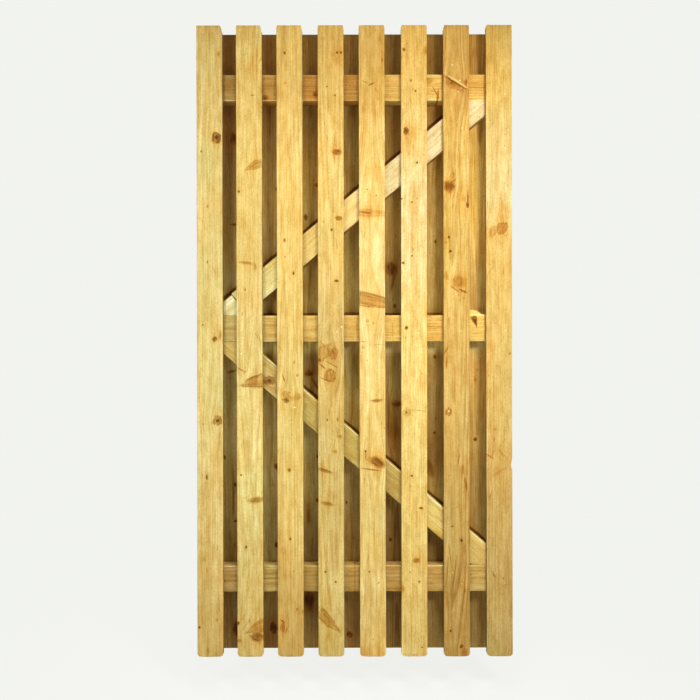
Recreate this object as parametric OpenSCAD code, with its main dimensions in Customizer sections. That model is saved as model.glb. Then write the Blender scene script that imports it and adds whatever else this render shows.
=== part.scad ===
// Double-sided paling gate.
// Front and back palings are nailed to three rails, and two diagonal braces meet at the middle
// rail on the hinge edge. A small block packs the foot of the upper brace.
// X runs along the rails from the hinge edge, Y runs from front to back, and Z is up.
// The origin is the centre of the middle rail's end on the hinge edge. Sizes are in millimetres.

/* [Leaf] */
// Overall width, along the rails
leaf_width = 900; // [700:10:1200]
// Overall height, from the feet of the palings to their tops
leaf_height = 1800; // [1400:10:2200]

/* [Front palings] */
// Number of front palings; the back ones are one fewer
front_count = 8; // [6:1:9]
// Width of a front paling
paling_width = 74; // [60:1:90]
// Thickness of a front paling
paling_thickness = 16; // [12:0.5:30]
// Amount by which each gap is wider than the one before it, counted from the hinge edge
gap_growth = 1.36; // [0:0.02:2]
// Radius of the two lower corners of a front paling
foot_radius = 10; // [4:0.5:25]
// Radius of the long edges of every paling
paling_arris = 2; // [0.5:0.5:4]

/* [Back palings] */
// Width of a back paling
back_width = 75; // [60:1:90]
// Thickness of a back paling
back_thickness = 16; // [12:0.5:30]

/* [Rails] */
// Height of a rail's section
rail_height = 75; // [50:1:100]
// Depth of a rail's section, from front palings to back palings
rail_depth = 45; // [25:1:60]
// Height of the bottom rail's underside above the feet
bottom_rail_level = 180; // [100:5:300]
// Distance from the paling tops down to the top rail's upper face
top_rail_drop = 135; // [60:5:250]
// Height of the middle rail's centre above the halfway point between the other two
middle_rail_lift = 13.5; // [-60:0.5:60]
// Radius of the long edges of the rails, the braces and the block
rail_arris = 2.5; // [0.5:0.5:5]

/* [Braces] */
// Width of a brace's section, square to its length
brace_width = 72; // [50:1:90]
// Distance from the hinge edge to the tip of the upper brace's line, on the middle rail
upper_brace_hinge_inset = 19; // [0:1:80]
// Distance from the latch edge to the upper brace's tip, under the top rail
upper_brace_latch_inset = 22; // [0:1:80]
// Distance from the hinge edge to the lower brace's tip, under the middle rail
lower_brace_hinge_inset = 33; // [0:1:80]
// Distance from the latch edge to the lower brace's tip, on the bottom rail
lower_brace_latch_inset = 2; // [0:1:80]

/* [Block under the upper brace] */
// Height of the lower corner of the upper brace's square foot above the middle rail
brace_foot_clearance = 8; // [2:0.5:20]
// Width of the saw gap between the block and the brace's square end
block_gap = 2; // [0.5:0.5:6]
// Distance that the block's upper edge lies below the brace's line, square to it
block_drop = 4; // [0:0.5:12]

/* [Hidden] */
// Facets that stand for a true arc
ARC = 48;

// Centre planes of the two skins of palings
front_plane = -(rail_depth + paling_thickness) / 2;
back_plane = (rail_depth + back_thickness) / 2;

// Undersides of the rails, above the feet
bottom_rail_low = bottom_rail_level;
top_rail_low = leaf_height - top_rail_drop - rail_height;
middle_rail_low = (bottom_rail_low + top_rail_low) / 2 + middle_rail_lift;

// Height of the feet in the part's own frame
foot_z = -(middle_rail_low + rail_height / 2);

// Front palings share the leaf's width with gaps that grow evenly away from the hinge edge
back_count = front_count - 1;
mean_gap = (leaf_width - front_count * paling_width) / back_count;
mean_pitch = paling_width + mean_gap;
function front_left(i) = (i - 1) * (mean_pitch - gap_growth * (front_count - i) / 2);
function front_centre(i) = front_left(i) + paling_width / 2;
// Each back paling is centred on the gap to the right of the front paling of the same number
function back_centre(i) = (front_centre(i) + front_centre(i + 1)) / 2;

// Horizontal and vertical room for each brace, and the slope that makes its level-cut ends fill it
upper_run = leaf_width - upper_brace_hinge_inset - upper_brace_latch_inset;
upper_rise = top_rail_low - middle_rail_low - rail_height;
lower_run = leaf_width - lower_brace_hinge_inset - lower_brace_latch_inset;
lower_rise = middle_rail_low - bottom_rail_low - rail_height;
function brace_slope(run, rise) = atan2(rise, run) + asin(brace_width / norm([run, rise]));
upper_slope = brace_slope(upper_run, upper_rise);
lower_slope = brace_slope(lower_run, lower_rise);

// Distance along the upper edge of the upper brace's line from its tip to its square foot
upper_brace_foot = (brace_foot_clearance + brace_width * cos(upper_slope)) / sin(upper_slope);

FRONT_NODES = [for (i = [1:front_count]) str("paling_", i)];
BACK_NODES = [for (i = [1:back_count]) str("back_paling_", i)];
RAIL_NODES = ["top_rail", "middle_rail", "bottom_rail"];
BRACE_NODES = ["upper_brace", "lower_brace", "brace_block"];

// Section of a sawn board, centred, with its four long edges rounded
module board_section(across, through, arris) {
    square([across - 2 * arris, through], center = true);
    square([across, through - 2 * arris], center = true);
    for (side = [-1, 1], face = [-1, 1])
        translate([side * (across / 2 - arris), face * (through / 2 - arris)])
            circle(r = arris, $fn = ARC);
}

// Front view of a paling that stands on y = 0: square top, rounded lower corners
module foot_outline(width, height, corner) {
    translate([-width / 2, corner])
        square([width, height - corner]);
    translate([-width / 2 + corner, 0])
        square([width - 2 * corner, height]);
    for (side = [-1, 1])
        translate([side * (width / 2 - corner), corner])
            circle(r = corner, $fn = ARC);
}

module front_paling(i) {
    color("burlywood")
        translate([front_centre(i), front_plane, foot_z])
            intersection() {
                linear_extrude(leaf_height)
                    board_section(paling_width, paling_thickness, paling_arris);
                translate([0, paling_thickness / 2, 0])
                    rotate([90, 0, 0])
                        linear_extrude(paling_thickness)
                            foot_outline(paling_width, leaf_height, foot_radius);
            }
}

module back_paling(i) {
    color("darkkhaki")
        translate([back_centre(i), back_plane, foot_z])
            linear_extrude(leaf_height)
                board_section(back_width, back_thickness, paling_arris);
}

// A rail whose underside is at the given height above the feet
module rail(low) {
    color("peru")
        translate([0, 0, foot_z + low + rail_height / 2])
            rotate([90, 0, 90])
                linear_extrude(leaf_width)
                    board_section(rail_depth, rail_height, rail_arris);
}

// A long board whose upper edge climbs from the origin at the given slope
module climbing_board(slope, reach) {
    rotate([0, -slope, 0])
        translate([-reach, 0, -brace_width / 2])
            rotate([90, 0, 90])
                linear_extrude(2 * reach)
                    board_section(rail_depth, brace_width, rail_arris);
}

// The room between two rails, from the height of the origin upwards
module between_rails(run, rise) {
    translate([-run, -rail_depth, 0])
        cube([3 * run, 2 * rail_depth, rise]);
}

// All that lies beyond a saw cut made square to the slope, at a distance along it
module beyond_cut(slope, distance, reach) {
    rotate([0, -slope, 0])
        translate([distance, -rail_depth, -reach])
            cube([reach, 2 * rail_depth, 2 * reach]);
}

// Climbs from the middle rail to the underside of the top rail; its foot is cut square
module upper_brace() {
    color("khaki")
        translate([upper_brace_hinge_inset, 0, foot_z + middle_rail_low + rail_height])
            intersection() {
                climbing_board(upper_slope, upper_run + upper_rise);
                between_rails(upper_run, upper_rise);
                beyond_cut(upper_slope, upper_brace_foot, upper_run + upper_rise);
            }
}

// Falls from the underside of the middle rail to the bottom rail
module lower_brace() {
    color("khaki")
        translate([lower_brace_hinge_inset, 0, foot_z + middle_rail_low])
            mirror([0, 0, 1])
                intersection() {
                    climbing_board(lower_slope, lower_run + lower_rise);
                    between_rails(lower_run, lower_rise);
                }
}

// Packs the corner between the upper brace's square foot and the middle rail
module brace_block() {
    color("palegoldenrod")
        translate([upper_brace_hinge_inset, 0, foot_z + middle_rail_low + rail_height])
            difference() {
                intersection() {
                    translate([block_drop * sin(upper_slope), 0, -block_drop * cos(upper_slope)])
                        climbing_board(upper_slope, upper_run);
                    between_rails(upper_run, upper_rise);
                }
                beyond_cut(upper_slope, upper_brace_foot - block_gap, upper_run + upper_rise);
            }
}

for (i = [1:front_count])
    front_paling(i);
for (i = [1:back_count])
    back_paling(i);
rail(top_rail_low);  // top_rail
rail(middle_rail_low);  // middle_rail
rail(bottom_rail_low);  // bottom_rail
upper_brace();
lower_brace();
brace_block();
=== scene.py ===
"""Double-sided paling gate: sawn, pressure-treated boards nailed to rails and braces.

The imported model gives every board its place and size. This script gives each board the shape
of sawn timber, its own run of grain and knots, and its nails, and stands it in a plain studio.
Lengths in the data classes are in millimetres unless a name or note says otherwise.
"""

import logging
import math
from dataclasses import dataclass
from enum import Enum
from functools import partial
from typing import Iterable, Sequence

import bmesh
import bpy
from mathutils import Matrix, Vector, noise

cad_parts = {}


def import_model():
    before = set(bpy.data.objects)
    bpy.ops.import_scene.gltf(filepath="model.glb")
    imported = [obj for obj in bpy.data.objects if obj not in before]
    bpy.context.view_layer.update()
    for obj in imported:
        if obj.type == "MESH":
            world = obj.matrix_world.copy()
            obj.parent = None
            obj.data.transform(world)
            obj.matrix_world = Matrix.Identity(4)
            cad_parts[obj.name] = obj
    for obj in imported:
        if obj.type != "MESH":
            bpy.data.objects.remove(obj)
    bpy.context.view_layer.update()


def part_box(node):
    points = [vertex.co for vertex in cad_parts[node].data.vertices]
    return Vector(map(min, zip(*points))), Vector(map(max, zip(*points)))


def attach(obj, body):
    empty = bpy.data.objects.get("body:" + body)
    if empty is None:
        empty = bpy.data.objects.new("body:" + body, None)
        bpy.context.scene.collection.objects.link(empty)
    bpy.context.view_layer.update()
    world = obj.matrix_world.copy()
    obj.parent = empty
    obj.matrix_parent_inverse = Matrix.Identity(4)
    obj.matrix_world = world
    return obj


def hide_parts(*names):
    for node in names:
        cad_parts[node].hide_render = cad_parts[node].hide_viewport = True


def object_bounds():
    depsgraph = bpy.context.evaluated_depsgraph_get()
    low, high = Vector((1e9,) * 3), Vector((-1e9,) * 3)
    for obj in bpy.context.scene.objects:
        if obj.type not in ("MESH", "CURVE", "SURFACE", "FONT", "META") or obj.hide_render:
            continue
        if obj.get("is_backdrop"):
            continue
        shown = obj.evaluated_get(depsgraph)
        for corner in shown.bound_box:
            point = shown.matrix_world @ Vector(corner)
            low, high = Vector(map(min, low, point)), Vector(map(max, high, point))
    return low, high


LOG = logging.getLogger("paling_gate")
MM = 0.001
HAIR = 1e-6  # metres; what is nearer than this lies in the same place
WHITE = (1.0, 1.0, 1.0)
UP = Vector((0, 0, 1))
BODY = "root"
SMOOTH_BELOW = math.radians(50)  # faces that meet at less than this are shaded as one

BMesh = bmesh.types.BMesh
Colour = tuple[float, float, float]
Material = bpy.types.Material
NodeTree = bpy.types.NodeTree
Socket = bpy.types.NodeSocket
Value = Socket | float | tuple


class Skin(Enum):
    """Which side of the rails a board stands on."""

    FRONT = -1.0
    BACK = 1.0


class SocketKind(Enum):
    """The kinds of socket that the node groups use."""

    VALUE = "NodeSocketFloat"
    VECTOR = "NodeSocketVector"
    COLOUR = "NodeSocketColor"


def rgba(colour: Colour) -> tuple[float, float, float, float]:
    """Returns a colour with full opacity."""
    return (*colour, 1.0)


# ---- Shader graphs ----


class Graph:
    """Adds nodes to one shader tree and wires them together.

    Attributes:
        MIX_INPUTS: Places of a Mix node's two colours among its inputs, which share their names.
        MIX_OUTPUT: Place of its colour among its outputs.
    """

    MIX_INPUTS = (6, 7)
    MIX_OUTPUT = 2

    def __init__(self, tree: NodeTree) -> None:
        """Keeps the tree that takes the nodes."""
        self.tree = tree

    def add(self, kind: str, **settings: object) -> bpy.types.Node:
        """Adds a node and sets its properties.

        Args:
            kind: Blender's name for the node type, without its "ShaderNode".
            **settings: Properties of the node.

        Returns:
            The new node.
        """
        node = self.tree.nodes.new(f"ShaderNode{kind}")
        for name, value in settings.items():
            setattr(node, name, value)
        return node

    def put(self, socket: Socket, value: Value) -> None:
        """Links a socket to another, or gives it a constant.

        Args:
            socket: The input to fill.
            value: A socket to link from, or a number, vector or colour.
        """
        if isinstance(value, bpy.types.NodeSocket):
            self.tree.links.new(value, socket)
        else:
            socket.default_value = value

    def math(self, operation: str, first: Value, second: Value = 0.0, third: Value = 0.0) -> Socket:
        """Returns the result of a Math node."""
        node = self.add("Math", operation=operation)
        for socket, value in zip(node.inputs, (first, second, third)):
            self.put(socket, value)
        return node.outputs[0]

    def times(self, first: Value, second: Value) -> Socket:
        """Returns a product."""
        return self.math("MULTIPLY", first, second)

    def plus(self, first: Value, second: Value) -> Socket:
        """Returns a sum."""
        return self.math("ADD", first, second)

    def minus(self, first: Value, second: Value) -> Socket:
        """Returns a difference."""
        return self.math("SUBTRACT", first, second)

    def most(self, first: Value, second: Value) -> Socket:
        """Returns the larger of two numbers."""
        return self.math("MAXIMUM", first, second)

    def line(self, value: Value, slope: Value, start: Value) -> Socket:
        """Returns a number times a slope, plus a start."""
        return self.math("MULTIPLY_ADD", value, slope, start)

    def vector(self, operation: str, first: Value, second: Value = (0.0, 0.0, 0.0)) -> Socket:
        """Returns the vector result of a Vector Math node."""
        node = self.add("VectorMath", operation=operation)
        self.put(node.inputs[0], first)
        self.put(node.inputs[1], second)
        return node.outputs[0]

    def scale(self, vector: Value, factor: Value) -> Socket:
        """Returns a vector times a number."""
        node = self.add("VectorMath", operation="SCALE")
        self.put(node.inputs[0], vector)
        self.put(node.inputs["Scale"], factor)
        return node.outputs[0]

    def split(self, vector: Socket) -> tuple[Socket, Socket, Socket]:
        """Returns the three parts of a vector."""
        node = self.add("SeparateXYZ")
        self.put(node.inputs[0], vector)
        return node.outputs[0], node.outputs[1], node.outputs[2]

    def join(self, x: Value, y: Value, z: Value) -> Socket:
        """Returns a vector made of three numbers."""
        node = self.add("CombineXYZ")
        for socket, value in zip(node.inputs, (x, y, z)):
            self.put(socket, value)
        return node.outputs[0]

    def ease(self, value: Value, start: Value, stop: Value, low: float = 0.0, high: float = 1.0) -> Socket:
        """Returns a smooth step between two limits.

        Args:
            value: The number to map.
            start: Where the step begins.
            stop: Where the step ends.
            low: The result before start.
            high: The result after stop.

        Returns:
            The mapped number.
        """
        node = self.add("MapRange", interpolation_type="SMOOTHSTEP")
        names = ("Value", "From Min", "From Max", "To Min", "To Max")
        for name, given in zip(names, (value, start, stop, low, high)):
            self.put(node.inputs[name], given)
        return node.outputs[0]

    def mix(self, factor: Value, first: Value, second: Value, blend: str = "MIX") -> Socket:
        """Returns a blend of two colours.

        Args:
            factor: How much of the second colour shows.
            first: The first colour.
            second: The second colour.
            blend: Blender's name for the way of blending.

        Returns:
            The blended colour.
        """
        node = self.add("Mix", data_type="RGBA", blend_type=blend, clamp_factor=True)
        self.put(node.inputs["Factor"], factor)
        for index, colour in zip(self.MIX_INPUTS, (first, second)):
            plain = isinstance(colour, tuple) and len(colour) == 3
            self.put(node.inputs[index], rgba(colour) if plain else colour)
        return node.outputs[self.MIX_OUTPUT]

    def tinted(self, colour: Socket, factor: Value, tint: Colour) -> Socket:
        """Returns a colour that is multiplied by a tint where a mask says so."""
        return self.mix(factor, colour, self.mix(1.0, colour, tint, "MULTIPLY"))

    def noise(
        self, point: Socket, detail: float = 2.0, roughness: float = 0.5, colour: bool = False
    ) -> Socket:
        """Returns noise of unit scale at a point that is already stretched.

        Args:
            point: Where to read the noise.
            detail: Number of finer layers.
            roughness: Strength of the finer layers.
            colour: Whether to return three values in place of one.

        Returns:
            The noise, around 0.5.
        """
        node = self.add("TexNoise")
        self.put(node.inputs["Vector"], point)
        self.put(node.inputs["Scale"], 1.0)
        self.put(node.inputs["Detail"], detail)
        self.put(node.inputs["Roughness"], roughness)
        return node.outputs["Color"] if colour else node.outputs["Fac"]

    def stretch(self, point: Socket, across: float, through: float, along: float, seed: Value) -> Socket:
        """Returns a point scaled by three numbers of cycles a metre and moved by a seed."""
        scaled = self.vector("MULTIPLY", point, (across, through, along))
        return self.vector("ADD", scaled, self.scale((7.31, 3.17, 5.53), seed))

    def group(self, tree: NodeTree, **values: Value) -> bpy.types.Node:
        """Places a node group and fills its inputs.

        Args:
            tree: The group to place.
            **values: Its inputs, with underscores for the spaces in their names.

        Returns:
            The group node.
        """
        node = self.add("Group", node_tree=tree)
        for name, value in values.items():
            self.put(node.inputs[name.replace("_", " ").title()], value)
        return node


class NodeGroup:
    """A shader node group under construction."""

    def __init__(self, name: str, inputs: Sequence[tuple], outputs: Sequence[tuple]) -> None:
        """Makes an empty group with its sockets.

        Args:
            name: The group's name.
            inputs: Kinds of input, each with the names that have it.
            outputs: The same for the outputs.
        """
        self.tree = bpy.data.node_groups.new(name, "ShaderNodeTree")
        for side, rows in (("INPUT", inputs), ("OUTPUT", outputs)):
            for kind, *labels in rows:
                for label in labels:
                    self.tree.interface.new_socket(name=label, in_out=side, socket_type=kind.value)
        self.graph = Graph(self.tree)
        self.entry = self.tree.nodes.new("NodeGroupInput").outputs
        self.exit = self.tree.nodes.new("NodeGroupOutput").inputs

    def finish(self, **results: Socket) -> NodeTree:
        """Wires the outputs.

        Args:
            **results: What each output gives, with underscores for spaces.

        Returns:
            The finished group.
        """
        for name, value in results.items():
            self.graph.put(self.exit[name.replace("_", " ").title()], value)
        return self.tree


def bare_material(name: str) -> tuple[Material, Graph]:
    """Returns a new material with an empty tree, and the graph that fills it."""
    material = bpy.data.materials.new(name)
    material.use_nodes = True
    material.node_tree.nodes.clear()
    return material, Graph(material.node_tree)


# ---- What a board is like ----


@dataclass(frozen=True)
class KnotLook:
    """How one kind of knot or mark is drawn; every value runs from 0 to 1.

    Attributes:
        stain: Depth of its brown stain.
        line: Darkness of its bark line and inner rings.
        core: Darkness of its centre.
        soft: Softness of its edge.
        taper: How much one end is narrower than the other.
        spread: How far it pushes the grain aside.
        fibre: Darkness of the fibres that run along it.
        glow: Depth of the orange resin around it.
    """

    stain: float
    line: float
    core: float
    soft: float
    taper: float
    spread: float
    fibre: float = 0.0
    glow: float = 0.4


class KnotKind(Enum):
    """The kinds of knot and mark that the boards have."""

    PIN = KnotLook(1.0, 0.0, 0.85, 0.40, 0.0, 0.4, 0.0, 0.25)
    ROUND = KnotLook(0.85, 0.85, 0.95, 0.30, 0.0, 0.8, 0.5, 0.4)
    RING = KnotLook(0.48, 0.60, 0.40, 0.46, 0.0, 0.8, 0.5, 0.4)
    SMUDGE = KnotLook(0.55, 0.0, 0.14, 0.75, 0.0, 0.4, 0.7, 0.4)
    SPIKE = KnotLook(0.45, 0.52, 0.0, 0.46, 0.55, 0.5, 0.7, 0.4)
    BAR = KnotLook(0.45, 0.50, 0.0, 0.55, 0.20, 0.4, 0.75, 0.5)
    TEAR = KnotLook(1.0, 0.3, 0.95, 0.30, 0.72, 0.5, 0.4, 0.4)
    FLAME = KnotLook(0.08, 0.0, 0.0, 0.90, 0.0, 0.3, 0.25, 0.8)
    SLIT = KnotLook(0.85, 0.0, 0.45, 0.60, 0.0, 0.2, 0.3, 0.25)


@dataclass(frozen=True)
class Knot:
    """A knot, bud or scar on a board's face, or a painted contact shadow drawn in the same way.

    Attributes:
        kind: What it is.
        across: Distance from the board's centre line.
        along: Distance from the board's foot or left end.
        width: Half its size across the grain, before it is turned.
        height: Half its size along the grain, before it is turned.
        turn: How far it is turned, in degrees.
        strength: How strongly it shows, where 1 is usual for its kind.
    """

    kind: KnotKind
    across: float
    along: float
    width: float
    height: float
    turn: float = 0.0
    strength: float = 1.0


@dataclass(frozen=True)
class Shade:
    """Slow darkening towards a board's ends: painted shade, where less light reaches them.

    Attributes:
        head: Depth at the top or right end, from 0 to 1.
        head_reach: Length over which it fades.
        foot: Depth at the foot or left end, from 0 to 1.
        foot_reach: Length over which it fades.
    """

    head: float = 0.0
    head_reach: float = 200.0
    foot: float = 0.0
    foot_reach: float = 300.0


@dataclass(frozen=True)
class Tone:
    """The colours of one kind of board.

    Attributes:
        pale: Early wood.
        gold: Early wood in the deeper streaks.
        late: Late wood, the dark line of each ring.
        stain: What the resin in and round a knot multiplies the wood by.
        bark: The bark line and the centre of a knot, and the painted shade along an upper front edge.
        salt: The tint that the treatment leaves.
    """

    pale: Colour = (0.92, 0.67, 0.22)
    gold: Colour = (0.84, 0.54, 0.13)
    late: Colour = (0.62, 0.35, 0.07)
    stain: Colour = (0.78, 0.60, 0.38)
    bark: Colour = (0.085, 0.026, 0.004)
    salt: Colour = (0.70, 0.60, 0.20)


@dataclass(frozen=True)
class Grain:
    """How the growth rings lie in a board.

    Attributes:
        seed: Picks this board's own noise.
        pith_across: Sideways distance from the board's centre to the centre of the tree.
        pith_depth: Distance from the board's centre back to the centre of the tree.
        lean: Sideways drift of the pith, in millimetres a metre.
        dip: Drift of the pith in depth, in millimetres a metre.
        ring: Width of one year's ring.
        waver: How far the rings wander.
        contrast: Strength of the ring lines.
        salt: Amount of the treatment's tint.
        streak: Strength of the long streaks.
    """

    seed: float
    pith_across: float = 0.0
    pith_depth: float = 45.0
    lean: float = 6.0
    dip: float = 14.0
    ring: float = 4.0
    waver: float = 5.0
    contrast: float = 0.6
    salt: float = 0.3
    streak: float = 0.7


@dataclass(frozen=True)
class Nick:
    """A hollow that wear or a chip has taken out of a board's long edge.

    Attributes:
        along: Distance from the board's foot or left end.
        side: The edge, -1 or 1 across the board.
        depth: How far it bites in.
        reach: Half its length.
        face: Which face it favours: -1 the front, 1 the back, 0 both.
    """

    along: float
    side: float
    depth: float
    reach: float
    face: float = 0.0


@dataclass(frozen=True)
class Tear:
    """A step in a board's front face, where the grain tore beside a knot.

    Attributes:
        start: Its left end, as distances across from the centre line and along from the foot.
        stop: Its right end, in the same way.
        depth: Depth of the hollow below its crest.
        crest: Width of the crest that stands at the level of the face.
        reach: Distance over which the hollows on both sides ease out.
    """

    start: tuple[float, float]
    stop: tuple[float, float]
    depth: float = 2.6
    crest: float = 4.0
    reach: float = 26.0

    def sink(self, across: float, along: float) -> float:
        """Returns how far the face lies below its sawn level.

        Args:
            across: Distance from the board's centre line.
            along: Distance from the board's foot.

        Returns:
            The depth, in millimetres.
        """
        begin, end = Vector(self.start), Vector(self.stop)
        run = end - begin
        length = run.length
        run.normalize()
        spot = Vector((across, along)) - begin
        share = spot.dot(run) / length
        above = spot.dot(Vector((-run.y, run.x)))
        above += 1.4 * noise.noise(Vector((share * 5.0, 0.4, 2.0)))
        fade = min(1.0, max(0.0, 4.0 * (share + 0.15))) * min(1.0, max(0.0, 6.0 * (1.12 - share)))
        if above < 0.0:
            hollow = self.depth * min(1.0, -above / 1.2) * math.exp(above / self.reach)
        else:
            rise = min(1.0, max(0.0, (above - self.crest * 0.6) / (self.crest * 0.8)))
            hollow = 0.45 * self.depth * rise * math.exp(-above / (0.7 * self.reach))
        return hollow * fade


@dataclass(frozen=True)
class Character:
    """Everything that sets one board apart from its neighbours.

    Attributes:
        grain: How its rings lie.
        tone: The colours of its kind.
        tint: What its own wood multiplies those colours by.
        shade: How its ends darken.
        knots: Its knots and scars.
        contact_shadows: Painted contact shadows on its front face alone, along where a rail or a brace
            rests on it.
        under_rail_light: What its front face is multiplied by just under the middle rail: painted light
            that lifts the rail's shadow there.
        nicks: The hollows in its edges.
        corners: Width and height of the pieces off its two top corners, left then right.
        sway: How far its middle stands aside from the line between its ends.
        lean: How far its top stands to the right of its foot.
        rough: Depth of the wear on its faces.
        ragged: Depth of the wear on its long edges.
        crevice: Darkness of the painted shade along its upper front edge, as in a crevice.
        ledge: Paleness of its upper narrow face: painted light, as if more light fell on it.
        soffit: Paleness of its lower narrow face: painted light, as if more light reached it from below.
        tear: A step torn in its front face, if it has one.
        drift: The slow changes of colour along it, partly its wood's own tone and partly painted light
        and shade: heights above its foot, or distances from its left end, each with the
        percentages of red, green and blue that are kept there.
    """

    grain: Grain
    tone: Tone = Tone()
    tint: Colour = WHITE
    shade: Shade = Shade()
    knots: tuple[Knot, ...] = ()
    contact_shadows: tuple[Knot, ...] = ()
    under_rail_light: Colour = WHITE
    nicks: tuple[Nick, ...] = ()
    corners: tuple[tuple[float, float], tuple[float, float]] = ((0.0, 0.0), (0.0, 0.0))
    sway: float = 0.0
    lean: float = 0.0
    rough: float = 0.3
    ragged: float = 0.7
    crevice: float = 0.0
    ledge: float = 0.0
    soffit: float = 0.0
    tear: Tear | None = None
    drift: tuple[tuple[float, float, float, float], ...] = ()


@dataclass(frozen=True)
class Board:
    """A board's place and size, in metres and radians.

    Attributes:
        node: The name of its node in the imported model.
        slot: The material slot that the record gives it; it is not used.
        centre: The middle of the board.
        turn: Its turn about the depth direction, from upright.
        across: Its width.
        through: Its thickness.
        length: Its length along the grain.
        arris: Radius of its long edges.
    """

    node: str
    slot: str
    centre: Vector
    turn: float
    across: float
    through: float
    length: float
    arris: float

    @property
    def place(self) -> Matrix:
        """The matrix that takes the board's own frame to its place in the gate."""
        return Matrix.Translation(self.centre) @ Matrix.Rotation(self.turn, 4, "Y")


@dataclass(frozen=True)
class Cut:
    """A plane that cuts a board.

    Attributes:
        point: A point on it.
        normal: The side that a saw cut takes off.
    """

    point: Vector
    normal: Vector

    def apply(self, shape: BMesh, clear: bool = False) -> None:
        """Cuts the faces that the plane crosses.

        Args:
            shape: The board, in the plane's own frame.
            clear: Whether to take off what lies on the normal's side.
        """
        everything = [*shape.verts, *shape.edges, *shape.faces]
        bmesh.ops.bisect_plane(
            shape, geom=everything, dist=HAIR, plane_co=self.point, plane_no=self.normal, clear_outer=clear
        )


# ---- Timber materials ----


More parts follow.
